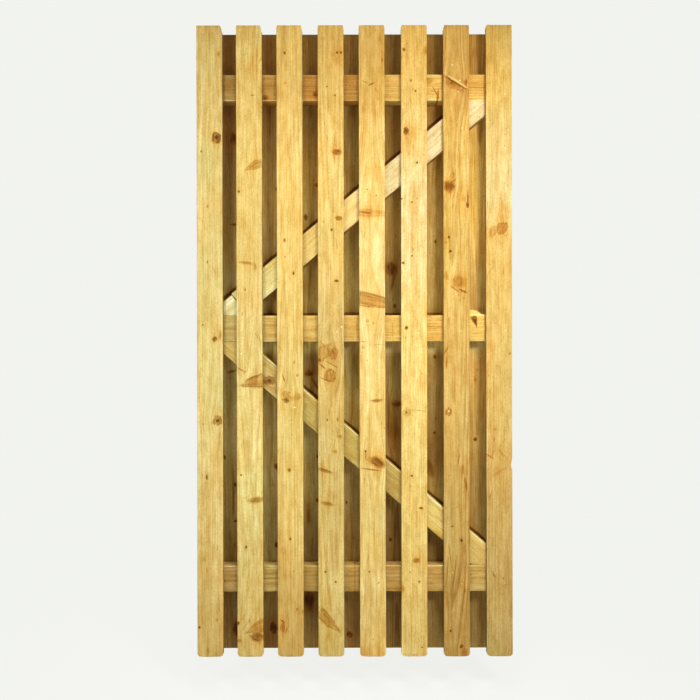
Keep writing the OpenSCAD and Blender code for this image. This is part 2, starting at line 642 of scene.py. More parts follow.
class Timber:
    """Builds the shared node groups and one material for each board.

    Attributes:
        RAMP_ROOM: What drift is divided by in its colour ramp, whose values stop at 1.
        BUMP: Strength and depth in millimetres of the grain's relief.
        GLOSS: How much the wood shines.
    """

    RAMP_ROOM = 3.0
    BUMP = (0.55, 0.9)
    GLOSS = 0.10

    def __init__(self) -> None:
        """Builds the three groups that every board shares."""
        self.knot_group = self.build_knot()
        self.ring_group = self.build_rings()
        self.face_group = self.build_face()

    @staticmethod
    def build_knot() -> NodeTree:
        """Builds a knot: it bends the grain round itself and marks its stain and its dark lines.

        Returns:
            The node group.
        """
        chain = (SocketKind.VECTOR, "Point", "Flow", "Marks")
        numbers = (
            SocketKind.VALUE, "Ragged", "Across", "Along", "Width", "Height", "Turn", "Stain", "Line",
            "Core", "Soft", "Taper", "Spread", "Fibre", "Glow",
        )
        group = NodeGroup("Knot", (chain, numbers), (chain,))
        g, entry = group.graph, group.entry
        x, _, z = g.split(entry["Point"])
        right = g.minus(x, entry["Across"])
        up = g.minus(z, entry["Along"])
        cosine = g.math("COSINE", entry["Turn"])
        sine = g.math("SINE", entry["Turn"])
        u = g.plus(g.times(right, cosine), g.times(up, sine))
        v = g.minus(g.times(up, cosine), g.times(right, sine))
        v = g.math("DIVIDE", v, entry["Height"])
        narrow = g.most(g.line(v, entry["Taper"], 1.0), 0.3)
        u = g.math("DIVIDE", g.math("DIVIDE", u, entry["Width"]), narrow)
        local = g.vector("ADD", g.join(u, v, 0.0), g.scale(entry["Point"], 9.0))
        wobble = g.noise(g.scale(local, 0.9), 2.0)
        ragged = g.minus(entry["Ragged"], 0.5)
        length = g.math("SQRT", g.plus(g.math("POWER", u, 2.0), g.math("POWER", v, 2.0)))
        edge = g.line(g.minus(wobble, 0.5), 1.0, length)
        edge = g.line(ragged, 0.55, edge)

        outside = g.line(entry["Soft"], 0.9, 1.05)
        inside = g.line(entry["Soft"], -0.8, 0.90)
        body = g.ease(edge, outside, inside)
        threads = g.noise(g.join(g.times(u, 3.4), g.times(v, 0.7), wobble), 2.0, 0.6)
        stain = g.times(g.times(body, entry["Stain"]), g.ease(threads, 0.3, 0.6, 0.65, 1.1))
        fibre = g.times(g.times(g.ease(threads, 0.50, 0.66), body), entry["Fibre"])
        ripple = g.most(g.math("SINE", g.times(edge, 11.0)), 0.0)
        inner = g.times(g.times(ripple, body), 0.60)
        off_rim = g.math("DIVIDE", g.math("ABSOLUTE", g.minus(edge, 0.93)), 0.34)
        rim = g.times(g.minus(1.0, off_rim), g.ease(threads, 0.36, 0.56, 0.25, 1.0))
        rim = g.times(g.most(rim, inner), entry["Line"])
        core = g.times(g.ease(edge, 0.80, 0.15), entry["Core"])
        dark = g.most(g.most(rim, g.times(fibre, 0.65)), core)

        beside = g.math("DIVIDE", right, g.line(entry["Width"], 1.7, 3.0 * MM))
        beyond = g.math("DIVIDE", up, g.line(entry["Height"], 2.2, 8.0 * MM))
        flare = g.plus(g.math("POWER", beside, 2.0), g.math("POWER", beyond, 2.0))
        flare = g.line(ragged, 0.9, flare)
        glow = g.times(g.ease(flare, 1.1, 0.1), entry["Glow"])

        wide = g.most(entry["Width"], g.times(entry["Height"], 0.5))
        tall = g.most(entry["Height"], entry["Width"])
        pull_x = g.math("POWER", g.math("DIVIDE", right, g.times(wide, 1.9)), 2.0)
        pull_z = g.math("POWER", g.math("DIVIDE", up, g.times(tall, 2.8)), 2.0)
        pull = g.math("EXPONENT", g.times(g.plus(pull_x, pull_z), -1.0))
        aside = g.times(g.times(right, pull), g.times(entry["Spread"], -1.0))
        marks = g.vector("MAXIMUM", entry["Marks"], g.join(stain, dark, glow))
        flow = g.vector("ADD", entry["Flow"], g.join(aside, 0.0, 0.0))
        # A vanishing step makes each knot wait for the one before it, which keeps long chains small.
        after = g.vector("ADD", entry["Point"], g.scale(g.vector("ADD", marks, flow), 1e-12))
        return group.finish(point=after, flow=flow, marks=marks)

    @staticmethod
    def build_rings() -> NodeTree:
        """Builds the growth rings of a log that the board was sawn from.

        Returns:
            The node group.
        """
        numbers = (
            SocketKind.VALUE, "Seed", "Pith Across", "Pith Depth", "Lean", "Dip", "Ring", "Waver",
        )
        group = NodeGroup(
            "Growth Rings", ((SocketKind.VECTOR, "Flow"), numbers), ((SocketKind.VALUE, "Late", "Year"),)
        )
        g, entry = group.graph, group.entry
        broad = g.noise(g.stretch(entry["Flow"], 5.0, 5.0, 1.7, entry["Seed"]), 1.0, colour=True)
        centred = g.vector("SUBTRACT", broad, (0.5, 0.5, 0.5))
        bent = g.vector("ADD", entry["Flow"], g.scale(centred, g.times(entry["Waver"], 2.4)))
        x, y, z = g.split(bent)
        from_x = g.minus(g.minus(x, entry["Pith Across"]), g.times(z, entry["Lean"]))
        from_y = g.minus(g.minus(y, entry["Pith Depth"]), g.times(z, entry["Dip"]))
        squares = g.plus(g.math("POWER", from_x, 2.0), g.math("POWER", from_y, 2.0))
        radius = g.math("SQRT", squares)
        ripple = g.noise(g.stretch(entry["Flow"], 55.0, 55.0, 8.0, entry["Seed"]), 2.0)
        wavy = g.line(g.minus(ripple, 0.5), 2.2 * MM, radius)
        years = g.math("DIVIDE", wavy, entry["Ring"])
        age = g.math("FRACT", years)
        late = g.times(g.ease(age, 0.25, 0.88), g.ease(age, 1.0, 0.93))
        dice = g.add("TexWhiteNoise", noise_dimensions="1D")
        g.put(dice.inputs["W"], g.plus(g.math("FLOOR", years), entry["Seed"]))
        return group.finish(late=late, year=dice.outputs["Value"])

    @staticmethod
    def build_face() -> NodeTree:
        """Builds the look of a sawn, treated face from the rings and the knots.

        Returns:
            The node group.
        """
        number, vector, colour = SocketKind.VALUE, SocketKind.VECTOR, SocketKind.COLOUR
        inputs = (
            (vector, "Point", "Flow"), (number, "Late", "Year"), (vector, "Marks"),
            (number, "Crevice", "Ledge", "Soffit", "Seed", "Contrast", "Streak", "Salt"),
            (number, "Half Across", "Half Through", "Half Length"),
            (number, "Head", "Head Reach", "Foot", "Foot Reach"),
            (colour, "Pale Wood", "Gold Wood", "Late Wood"),
            (colour, "Knot Stain", "Knot Bark", "Salt Tint", "Board Tint"),
        )
        group = NodeGroup("Sawn Face", inputs, ((colour, "Colour"), (number, "Roughness", "Height")))
        g, entry = group.graph, group.entry
        flow, seed, point = entry["Flow"], entry["Seed"], entry["Point"]
        broad = g.noise(g.stretch(flow, 26.0, 26.0, 2.2, seed), 2.0)
        fine = g.noise(g.stretch(flow, 120.0, 120.0, 3.5, seed), 3.0, 0.6)
        thread = g.noise(g.stretch(flow, 330.0, 330.0, 8.0, seed), 2.0, 0.6)
        grit = g.noise(g.stretch(point, 300.0, 300.0, 180.0, seed), 2.0, 0.7)
        patch = g.noise(g.stretch(point, 9.0, 9.0, 4.0, seed), 3.0)
        mottle = g.noise(g.stretch(point, 55.0, 55.0, 20.0, seed), 3.0, 0.6)
        warmth = g.noise(g.stretch(flow, 14.0, 14.0, 3.4, g.plus(seed, 1.7)), 3.0, 0.55)

        mixed = g.line(fine, 0.5, g.times(broad, 0.5))
        depth = g.times(g.ease(mixed, 0.38, 0.62), entry["Streak"])
        wood = g.mix(depth, entry["Pale Wood"], entry["Gold Wood"])
        faded = g.ease(broad, 0.30, 0.62, 1.0, 0.45)
        line = g.times(entry["Late"], g.line(entry["Year"], 0.7, 0.3))
        line = g.times(line, faded)
        wander = g.noise(g.stretch(flow, 46.0, 46.0, 2.4, g.plus(seed, 6.1)), 1.0)
        vein = g.ease(g.math("ABSOLUTE", g.minus(wander, 0.5)), 0.020, 0.004)
        vein = g.times(vein, g.ease(fine, 0.42, 0.60, 0.15, 0.60))
        line = g.most(line, vein)
        strength = g.times(line, entry["Contrast"])
        wood = g.mix(strength, wood, entry["Late Wood"])
        warm, cool = (0.97, 0.83, 0.58), (1.05, 1.09, 1.24)
        wood = g.tinted(wood, g.ease(warmth, 0.50, 0.74, 0.0, 0.70), warm)
        wood = g.tinted(wood, g.ease(warmth, 0.46, 0.28, 0.0, 0.70), cool)
        tint = g.times(g.ease(patch, 0.40, 0.70), entry["Salt"])
        wood = g.mix(tint, wood, entry["Salt Tint"])
        wood = g.mix(1.0, wood, entry["Board Tint"], "MULTIPLY")
        wood = g.tinted(wood, g.ease(thread, 0.60, 0.32), (0.86, 0.76, 0.58))
        wood = g.tinted(wood, g.ease(mottle, 0.60, 0.32), (0.90, 0.82, 0.68))
        wood = g.tinted(wood, g.ease(mottle, 0.50, 0.72), (1.05, 1.06, 1.12))
        wood = g.tinted(wood, g.ease(grit, 0.52, 0.24), (0.82, 0.74, 0.58))
        wood = g.tinted(wood, g.ease(grit, 0.56, 0.78), (1.08, 1.10, 1.25))

        fleck = g.most(Timber.flecks(g, flow, seed, 42.0, 15.0, 0.84, 0.13),
                       Timber.flecks(g, flow, g.plus(seed, 3.3), 85.0, 34.0, 0.80, 0.14))
        wood = g.tinted(wood, g.times(fleck, 0.8), (0.55, 0.42, 0.22))
        stain, dark, glow = g.split(entry["Marks"])
        wood = g.tinted(wood, g.times(glow, g.ease(fine, 0.30, 0.60, 0.4, 1.0)), (0.97, 0.80, 0.54))
        resin = g.most(stain, g.times(dark, 1.2))
        wood = g.tinted(wood, g.ease(resin, 0.0, 0.55), entry["Knot Stain"])
        wood = g.tinted(wood, g.ease(resin, 0.38, 1.0), (0.44, 0.36, 0.28))
        wood = g.mix(g.ease(dark, 0.50, 1.0, 0.0, 0.85), wood, entry["Knot Bark"])

        x, y, z = g.split(point)
        off_x = g.minus(entry["Half Across"], g.math("ABSOLUTE", x))
        off_y = g.minus(entry["Half Through"], g.math("ABSOLUTE", y))
        off_z = g.minus(entry["Half Length"], g.math("ABSOLUTE", z))
        from_edge = g.most(off_x, off_y)
        # Painted highlight: the long edges and arrises are made paler, as if they caught the light.
        edge_highlight = g.ease(from_edge, g.line(mottle, 4.0 * MM, 1.6 * MM), 0.6 * MM)
        bright = g.mix(1.0, wood, (1.14, 1.16, 1.25), "MULTIPLY")
        wood = g.mix(g.times(edge_highlight, 0.8), wood, bright)
        # The narrow sawn side faces are darkened, partly for their rougher sawn wood and partly as painted
        # shade.
        sawn_side_shade = g.times(g.ease(off_x, 2.2 * MM, 0.9 * MM), g.ease(off_y, 0.8 * MM, 2.4 * MM))
        wood = g.tinted(wood, g.times(sawn_side_shade, 0.75), (0.52, 0.42, 0.34))
        end = g.ease(off_z, 1.2 * MM, 0.2 * MM)
        wood = g.tinted(wood, g.times(end, 0.45), (0.60, 0.45, 0.28))
        # Painted shade: a dark line in the bark colour along the upper front arris, as in a crevice.
        top_arris = g.times(g.ease(x, 1.0 * MM, -2.0 * MM), g.ease(y, 1.0 * MM, -2.0 * MM))
        crevice_shade = g.ease(off_x, g.line(mottle, 3.0 * MM, 1.4 * MM), 1.2 * MM)
        crevice_shade = g.times(crevice_shade, g.ease(off_x, -3.0 * MM, -1.0 * MM))
        crevice_shade = g.times(g.times(crevice_shade, top_arris), entry["Crevice"])
        wood = g.mix(crevice_shade, wood, entry["Knot Bark"])
        # Painted light: the narrow upper and lower faces are made paler; then every colour is capped.
        narrow = g.times(g.ease(off_x, 3.2 * MM, 1.2 * MM), g.ease(off_x, -3.0 * MM, -1.0 * MM))
        upper = g.times(g.ease(x, 0.0, -2.0 * MM), entry["Ledge"])
        lower = g.times(g.ease(x, 0.0, 2.0 * MM), entry["Soffit"])
        wood = g.tinted(wood, g.times(narrow, g.most(upper, lower)), (1.75, 2.05, 2.60))
        wood = g.mix(1.0, wood, (0.94, 0.90, 0.60), "DARKEN")
        # Painted shade towards the board's ends.
        head = g.ease(g.minus(entry["Half Length"], z), entry["Head Reach"], 0.0)
        foot = g.ease(g.plus(entry["Half Length"], z), entry["Foot Reach"], 0.0)
        dull = g.plus(g.times(head, entry["Head"]), g.times(foot, entry["Foot"]))
        dull = g.times(dull, g.line(broad, 0.8, 0.6))
        wood = g.tinted(wood, dull, (0.30, 0.24, 0.18))

        saw = g.add("TexWave", wave_type="BANDS", bands_direction="Z", wave_profile="SIN")
        g.put(saw.inputs["Vector"], g.stretch(point, 12.0, 12.0, 330.0, seed))
        g.put(saw.inputs["Scale"], 0.3)
        g.put(saw.inputs["Distortion"], 1.6)
        g.put(saw.inputs["Detail"], 1.0)
        sawn = g.times(saw.outputs["Fac"], g.ease(patch, 0.45, 0.6))
        ridges = g.noise(g.stretch(point, 120.0, 120.0, 3.5, seed), 4.0, 0.7)
        relief = g.line(ridges, 1.1, g.times(grit, 0.35))
        relief = g.line(sawn, 0.18, relief)
        rough = g.line(fine, 0.2, 0.62)
        return group.finish(colour=wood, roughness=rough, height=relief)

    @staticmethod
    def flecks(
        g: Graph, flow: Socket, seed: Socket, across: float, along: float, rare: float, reach: float
    ) -> Socket:
        """Returns a mask of small scattered marks, longer along the grain.

        Args:
            g: The graph that takes the nodes.
            flow: The point in the grain.
            seed: Moves the pattern to a fresh place.
            across: Cells a metre across the grain.
            along: Cells a metre along the grain.
            rare: Share of the cells that stay empty.
            reach: Size of a mark, as a share of its cell.

        Returns:
            The mask.
        """
        cell = g.add("TexVoronoi", feature="F1")
        g.put(cell.inputs["Vector"], g.stretch(flow, across, across, along, seed))
        g.put(cell.inputs["Scale"], 1.0)
        chosen = g.ease(g.split(cell.outputs["Color"])[0], rare, rare + 0.04)
        return g.times(g.ease(cell.outputs["Distance"], reach, reach * 0.35), chosen)

    @staticmethod
    def drift(g: Graph, point: Socket, board: Board, character: Character) -> Socket:
        """Returns a board's tint, changing slowly along its length with its wood's tone and with painted
        light and shade.

        Args:
            g: The graph that takes the nodes.
            point: The point in the board's own frame.
            board: The board's size.
            character: Its tint and its drift.

        Returns:
            The tint.
        """
        share = g.line(g.split(point)[2], 1.0 / board.length, 0.5)
        ramp = g.add("ValToRGB")
        ramp.color_ramp.interpolation = "EASE"
        stops = ramp.color_ramp.elements
        for index, (along, *percents) in enumerate(character.drift):
            place = along * MM / board.length
            stop = stops[index] if index < 2 else stops.new(place)
            stop.position = place
            stop.color = rgba(tuple(percent / 100.0 / Timber.RAMP_ROOM for percent in percents))
        g.put(ramp.inputs["Fac"], share)
        tint = tuple(part * Timber.RAMP_ROOM for part in character.tint)
        return g.mix(1.0, ramp.outputs["Color"], tint, "MULTIPLY")

    def mark(
        self, g: Graph, board: Board, knots: Sequence[Knot], ragged: Socket, chain: tuple[Value, ...]
    ) -> tuple[Value, ...]:
        """Adds knots to a board's chain of knots.

        Args:
            g: The graph that takes the nodes.
            board: The board's size.
            knots: What to add.
            ragged: Noise that makes their edges uneven.
            chain: The point, the grain's flow and the marks so far.

        Returns:
            The chain after them.
        """
        for knot in knots:
            look, strength = knot.kind.value, knot.strength
            placed = g.group(
                self.knot_group, point=chain[0], flow=chain[1], marks=chain[2], ragged=ragged,
                across=knot.across * MM, along=knot.along * MM - board.length / 2,
                width=knot.width * MM, height=knot.height * MM, turn=math.radians(knot.turn),
                stain=look.stain * strength, line=look.line * strength, core=look.core * strength,
                soft=look.soft, taper=look.taper, spread=look.spread, fibre=look.fibre * strength,
                glow=look.glow * strength,
            )
            chain = tuple(placed.outputs[name] for name in ("Point", "Flow", "Marks"))
        return chain

    def material(self, board: Board, character: Character) -> Material:
        """Builds one board's material.

        Args:
            board: The board's place and size.
            character: Its grain, colours and knots.

        Returns:
            The material.
        """
        material, g = bare_material(f"timber_{board.node}")
        place = g.add("Mapping", vector_type="TEXTURE")
        g.put(place.inputs["Vector"], g.add("TexCoord").outputs["Object"])
        g.put(place.inputs["Location"], tuple(board.centre))
        g.put(place.inputs["Rotation"], (0.0, board.turn, 0.0))
        point = place.outputs["Vector"]

        grain, tone, shade = character.grain, character.tone, character.shade
        ragged = g.noise(g.stretch(point, 300.0, 300.0, 90.0, grain.seed), 2.0, 0.6)
        _, depth, height = g.split(point)
        front = g.ease(depth, 0.0, -2.0 * MM)
        # Painted shade: the contact shadows of the rails and braces, kept to the front face.
        chain = self.mark(g, board, character.contact_shadows, ragged, (point, point, (0.0, 0.0, 0.0)))
        if character.contact_shadows:
            chain = (*chain[:2], g.scale(chain[2], front))
        _, flow, marks = self.mark(g, board, character.knots, ragged, chain)

        tint = rgba(character.tint)
        if character.drift:
            tint = self.drift(g, point, board, character)
        # Painted light: the front face just under the middle rail is made paler, lifting the rail's shadow.
        if character.under_rail_light != WHITE:
            strip = g.times(
                g.ease(height, -50.0 * MM, -12.0 * MM), g.ease(height, 70.0 * MM, 10.0 * MM)
            )
            tint = g.tinted(tint, g.times(strip, front), character.under_rail_light)
        rings = g.group(
            self.ring_group, flow=flow, seed=grain.seed, pith_across=grain.pith_across * MM,
            pith_depth=grain.pith_depth * MM, lean=grain.lean * MM, dip=grain.dip * MM,
            ring=grain.ring * MM, waver=grain.waver * MM,
        )
        face = g.group(
            self.face_group, point=point, flow=flow, late=rings.outputs["Late"], year=rings.outputs["Year"],
            marks=marks, crevice=character.crevice, ledge=character.ledge, soffit=character.soffit,
            seed=grain.seed, contrast=grain.contrast, streak=grain.streak, salt=grain.salt,
            half_across=board.across / 2, half_through=board.through / 2, half_length=board.length / 2,
            pale_wood=rgba(tone.pale), gold_wood=rgba(tone.gold), late_wood=rgba(tone.late),
            knot_stain=rgba(tone.stain), knot_bark=rgba(tone.bark), salt_tint=rgba(tone.salt),
            board_tint=tint, head=shade.head, head_reach=shade.head_reach * MM,
            foot=shade.foot, foot_reach=shade.foot_reach * MM,
        )
        bump = g.add("Bump")
        g.put(bump.inputs["Strength"], self.BUMP[0])
        g.put(bump.inputs["Distance"], self.BUMP[1] * MM)
        g.put(bump.inputs["Height"], face.outputs["Height"])
        shader = g.add("BsdfPrincipled")
        g.put(shader.inputs["Base Color"], face.outputs["Colour"])
        g.put(shader.inputs["Roughness"], face.outputs["Roughness"])
        g.put(shader.inputs["Specular IOR Level"], self.GLOSS)
        g.put(shader.inputs["Normal"], bump.outputs["Normal"])
        g.put(g.add("OutputMaterial").inputs["Surface"], shader.outputs["BSDF"])
        return material


# ---- Board meshes ----


def round_off(
    shape: BMesh, edges: list[bmesh.types.BMEdge], radius: float, segments: int, clamp: bool = False
) -> list[bmesh.types.BMVert]:
    """Rounds some edges of a mesh.

    Args:
        shape: The mesh.
        edges: The edges.
        radius: How far the rounding reaches, in metres.
        segments: Number of faces across it.
        clamp: Whether it stops where two of them would meet.

    Returns:
        The new vertices.
    """
    made = bmesh.ops.bevel(
        shape, geom=edges, offset=radius, segments=segments, profile=0.5, affect="EDGES", material=-1,
        clamp_overlap=clamp,
    )
    return made["verts"]


@dataclass
class Sawmill:
    """Shapes boards: saws them to size, rounds their edges and wears them.

    Attributes:
        timber: The materials.
        station: Distance between the mesh's rings along a board.
        strips: Number of strips that each wide face is cut into.
        end_arris: Width of the small bevel on every sawn end.
        sharp: Angle of an edge that is still sharp, in degrees.
        tear_reach: How far above and below a tear the face is cut finely.
        tear_cuts: Number of cuts across each of its faces there.
        slow_wear: Cycles a metre of the broad wear, across and along the board.
        quick_wear: The same for the small chips.
    """

    timber: Timber
    station: float = 14.0
    strips: int = 6
    end_arris: float = 0.6
    sharp: float = 40.0
    tear_reach: float = 75.0
    tear_cuts: int = 6
    slow_wear: tuple[float, float] = (30.0, 7.0)
    quick_wear: tuple[float, float] = (60.0, 34.0)

    def blank(self, board: Board, foot_radius: float = 0.0) -> BMesh:
        """Makes a squared board with rounded long edges, in its own frame.

        Args:
            board: The board's size.
            foot_radius: Radius of the two lower corners, in metres.

        Returns:
            The mesh under construction.
        """
        shape = bmesh.new()
        bmesh.ops.create_cube(shape, size=1.0)
        bmesh.ops.scale(shape, vec=(board.across, board.through, board.length), verts=shape.verts)
        if foot_radius > 0.0:
            low = [e for e in shape.edges if self.along_depth(e) and max(v.co.z for v in e.verts) < 0.0]
            round_off(shape, low, foot_radius, 8)
        face_at = board.through / 2 - HAIR
        long_edges = [
            e for e in shape.edges
            if all(abs(v.co.y) > face_at for v in e.verts) and abs(e.verts[0].co.z - e.verts[1].co.z) > HAIR
            and e.verts[0].co.y * e.verts[1].co.y > 0.0
        ]
        round_off(shape, long_edges, board.arris, 4)
        return shape

    @staticmethod
    def along_depth(edge: bmesh.types.BMEdge) -> bool:
        """Returns whether an edge runs straight through the thickness."""
        run = edge.verts[0].co - edge.verts[1].co
        return abs(run.x) < HAIR and abs(run.z) < HAIR

    @staticmethod
    def saw(shape: BMesh, cuts: Iterable[Cut]) -> None:
        """Saws pieces off a closed board and closes the cut.

        Args:
            shape: The board.
            cuts: Planes in the board's own frame.
        """
        for cut in cuts:
            cut.apply(shape, clear=True)
            rim = [e for e in shape.edges if e.is_boundary]
            bmesh.ops.holes_fill(shape, edges=rim, sides=0)

    def ease_ends(self, shape: BMesh) -> None:
        """Bevels every edge of a board that is still sharp."""
        least = math.radians(self.sharp)
        sharp = [e for e in shape.edges if e.is_manifold and e.calc_face_angle(0.0) > least]
        round_off(shape, sharp, self.end_arris * MM, 1, clamp=True)

    def divide(self, shape: BMesh, board: Board) -> None:
        """Cuts the faces into stations and strips, so that wear can shape them.

        Args:
            shape: The board.
            board: Its size.
        """
        count = max(4, round(board.length / (self.station * MM)))
        planes = [Cut(UP * ((i / count - 0.5) * board.length), UP) for i in range(1, count)]
        planes += [
            Cut(Vector(((i / self.strips - 0.5) * board.across, 0, 0)), Vector((1, 0, 0)))
            for i in range(1, self.strips)
        ]
        planes.append(Cut(Vector((0, 0, 0)), Vector((0, 1, 0))))
        for plane in planes:
            plane.apply(shape)

    def refine(self, shape: BMesh, board: Board, tear: Tear) -> None:
        """Cuts the front face finely where a tear shapes it.

        Args:
            shape: The board.
            board: Its size.
            tear: The tear.
        """
        middle = (tear.start[1] + tear.stop[1]) / 2 * MM - board.length / 2
        shape.normal_update()
        near = [
            f for f in shape.faces
            if f.normal.y < -0.5 and abs(f.calc_center_median().z - middle) < self.tear_reach * MM
        ]
        edges = list({e for f in near for e in f.edges})
        bmesh.ops.subdivide_edges(shape, edges=edges, cuts=self.tear_cuts, use_grid_fill=True)

    def wear(self, shape: BMesh, board: Board, character: Character) -> None:
        """Wears faces and edges inwards, so that the board stays inside its sawn size.

        Args:
            shape: The board.
            board: Its size.
            character: How worn it is, and where its nicks are.
        """
        shape.normal_update()
        seed = Vector((character.grain.seed * 3.7, character.grain.seed * 1.9, 0.0))
        (slow, slow_along), (quick, quick_along) = self.slow_wear, self.quick_wear
        for vert in shape.verts:
            x, y, z = vert.co
            off_x = board.across / 2 - abs(x)
            off_y = board.through / 2 - abs(y)
            on_edge = max(0.0, 1.0 - max(off_x, off_y) / (board.arris * 1.2))
            smooth = noise.noise(Vector((x * slow, y * slow, z * slow_along)) + seed)
            coarse = noise.noise(Vector((x * quick, y * quick, z * quick_along)) + seed * 2)
            depth = character.rough * (0.5 + 0.5 * smooth)
            depth += character.ragged * on_edge * max(0.0, 0.35 + 0.9 * coarse)
            for nick in character.nicks:
                beside = math.exp(-(((z + board.length / 2) / MM - nick.along) / nick.reach) ** 2)
                inside = max(0.0, 1.0 - off_x / (board.across * 0.16)) if x * nick.side > 0 else 0.0
                facing = 1.0
                if nick.face != 0:
                    facing = max(0.0, 0.5 + 0.5 * nick.face * y / (board.through / 2))
                vert.co.x -= nick.side * nick.depth * MM * beside * inside * facing
            if character.tear is not None and y < 0.0 and off_y < 3.0 * MM:
                depth += character.tear.sink(x / MM, (z + board.length / 2) / MM) * (1.0 - on_edge)
            vert.co -= vert.normal * depth * MM

    @staticmethod
    def settle(shape: BMesh, board: Board, character: Character) -> None:
        """Leans and sways a board by the small amounts that real ones have.

        Args:
            shape: The board.
            board: Its size.
            character: How far it leans and sways.
        """
        for vert in shape.verts:
            share = vert.co.z / board.length
            vert.co.x += character.lean * MM * share
            vert.co.x += character.sway * MM * (1.0 - 4.0 * share * share)

    def make(
        self, board: Board, character: Character, foot_radius: float = 0.0, cuts: Sequence[Cut] = ()
    ) -> bpy.types.Object:
        """Makes a finished board that stands for its node.

        Args:
            board: Its place and size.
            character: What sets it apart.
            foot_radius: Radius of its two lower corners, in metres.
            cuts: Saw cuts, in the gate's frame.

        Returns:
            The board's object.
        """
        shape = self.blank(board, foot_radius)
        to_board = board.place.inverted()
        own = [Cut(to_board @ c.point, (to_board.to_3x3() @ c.normal).normalized()) for c in cuts]
        self.saw(shape, own + self.corner_cuts(board, character))
        self.ease_ends(shape)
        self.divide(shape, board)
        if character.tear is not None:
            self.refine(shape, board, character.tear)
        self.wear(shape, board, character)
        self.settle(shape, board, character)
        bmesh.ops.transform(shape, matrix=board.place, verts=shape.verts)
        bmesh.ops.recalc_face_normals(shape, faces=shape.faces)
        material = self.timber.material(board, character)
        return finish_piece(shape, f"{board.node}_timber", board.node, material)

    @staticmethod
    def corner_cuts(board: Board, character: Character) -> list[Cut]:
        """Returns the cuts that take the two top corners off a board."""
        cuts = []
        for side, (width, height) in zip((-1.0, 1.0), character.corners):
            if width > 0.0:
                point = Vector((side * board.across / 2, 0.0, board.length / 2 - height * MM))
                cuts.append(Cut(point, Vector((side * height, 0.0, width)).normalized()))
        return cuts


def finish_piece(
    shape: BMesh, name: str, node: str | None, material: Material
) -> bpy.types.Object:
    """Turns a shape into a piece of the gate.

    Args:
        shape: The finished shape, which is freed.
        name: The piece's name.
        node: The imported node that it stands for, if any.
        material: Its material.

    Returns:
        The new object.
    """
    mesh = bpy.data.meshes.new(name)
    shape.to_mesh(mesh)
    shape.free()
    mesh.materials.append(material)
    mesh.shade_smooth()
    mesh.set_sharp_from_angle(angle=SMOOTH_BELOW)
    piece = bpy.data.objects.new(name, mesh)
    bpy.context.scene.collection.objects.link(piece)
    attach(piece, BODY)
    if node is not None:
        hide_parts(node)
    LOG.info("%s: %d faces", name, len(mesh.polygons))
    return piece


def read_board(node: str, slot: str, arris: float, level: bool = False) -> Board:
    """Reads a board's place and size from its node.

    Args:
        node: The node's name.
        slot: The record's material slot.
        arris: Radius of its long edges, in metres.
        level: Whether it lies level and does not stand upright.

    Returns:
        The board.
    """
    low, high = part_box(node)
    size = high - low
    turn, across, length = (math.pi / 2, size.z, size.x) if level else (0.0, size.x, size.z)
    return Board(node, slot, (low + high) / 2, turn, across, size.y, length, arris)


# ---- The boards of this gate ----

# One maker for each kind of knot, in the order of KnotKind.
pin, eye, ring, smudge, spike, bar, rip, flame, slit = (partial(Knot, kind) for kind in KnotKind)


def brace_contact_shadow(along: float, turn: float) -> Knot:
    """Returns the painted contact shadow on a back board along the edge where a brace rests."""
    return slit(0, along, 5, 60, turn, 1.6)


# The painted contact shadow on a back board along the top of the middle rail.
RAIL_CONTACT_SHADOW = slit(0, 979, 4, 44, 90)
ENDS = Shade(head=0.04, head_reach=200.0, foot=0.06, foot_reach=350.0)

STRAW = Tone(
    pale=(0.88, 0.67, 0.23), gold=(0.80, 0.55, 0.14), late=(0.60, 0.36, 0.08), salt=(0.72, 0.60, 0.19)
)
GOLD = Tone()
HONEY = Tone(pale=(0.95, 0.72, 0.26), gold=(0.89, 0.59, 0.16), late=(0.70, 0.41, 0.09))
AMBER = Tone(pale=(0.86, 0.56, 0.17), gold=(0.74, 0.43, 0.09), late=(0.54, 0.27, 0.05))
RUSSET = Tone(pale=(0.80, 0.53, 0.17), gold=(0.72, 0.42, 0.10), late=(0.52, 0.27, 0.06))
CREAM = Tone(pale=(0.93, 0.80, 0.42), gold=(0.86, 0.68, 0.28), late=(0.72, 0.50, 0.16))
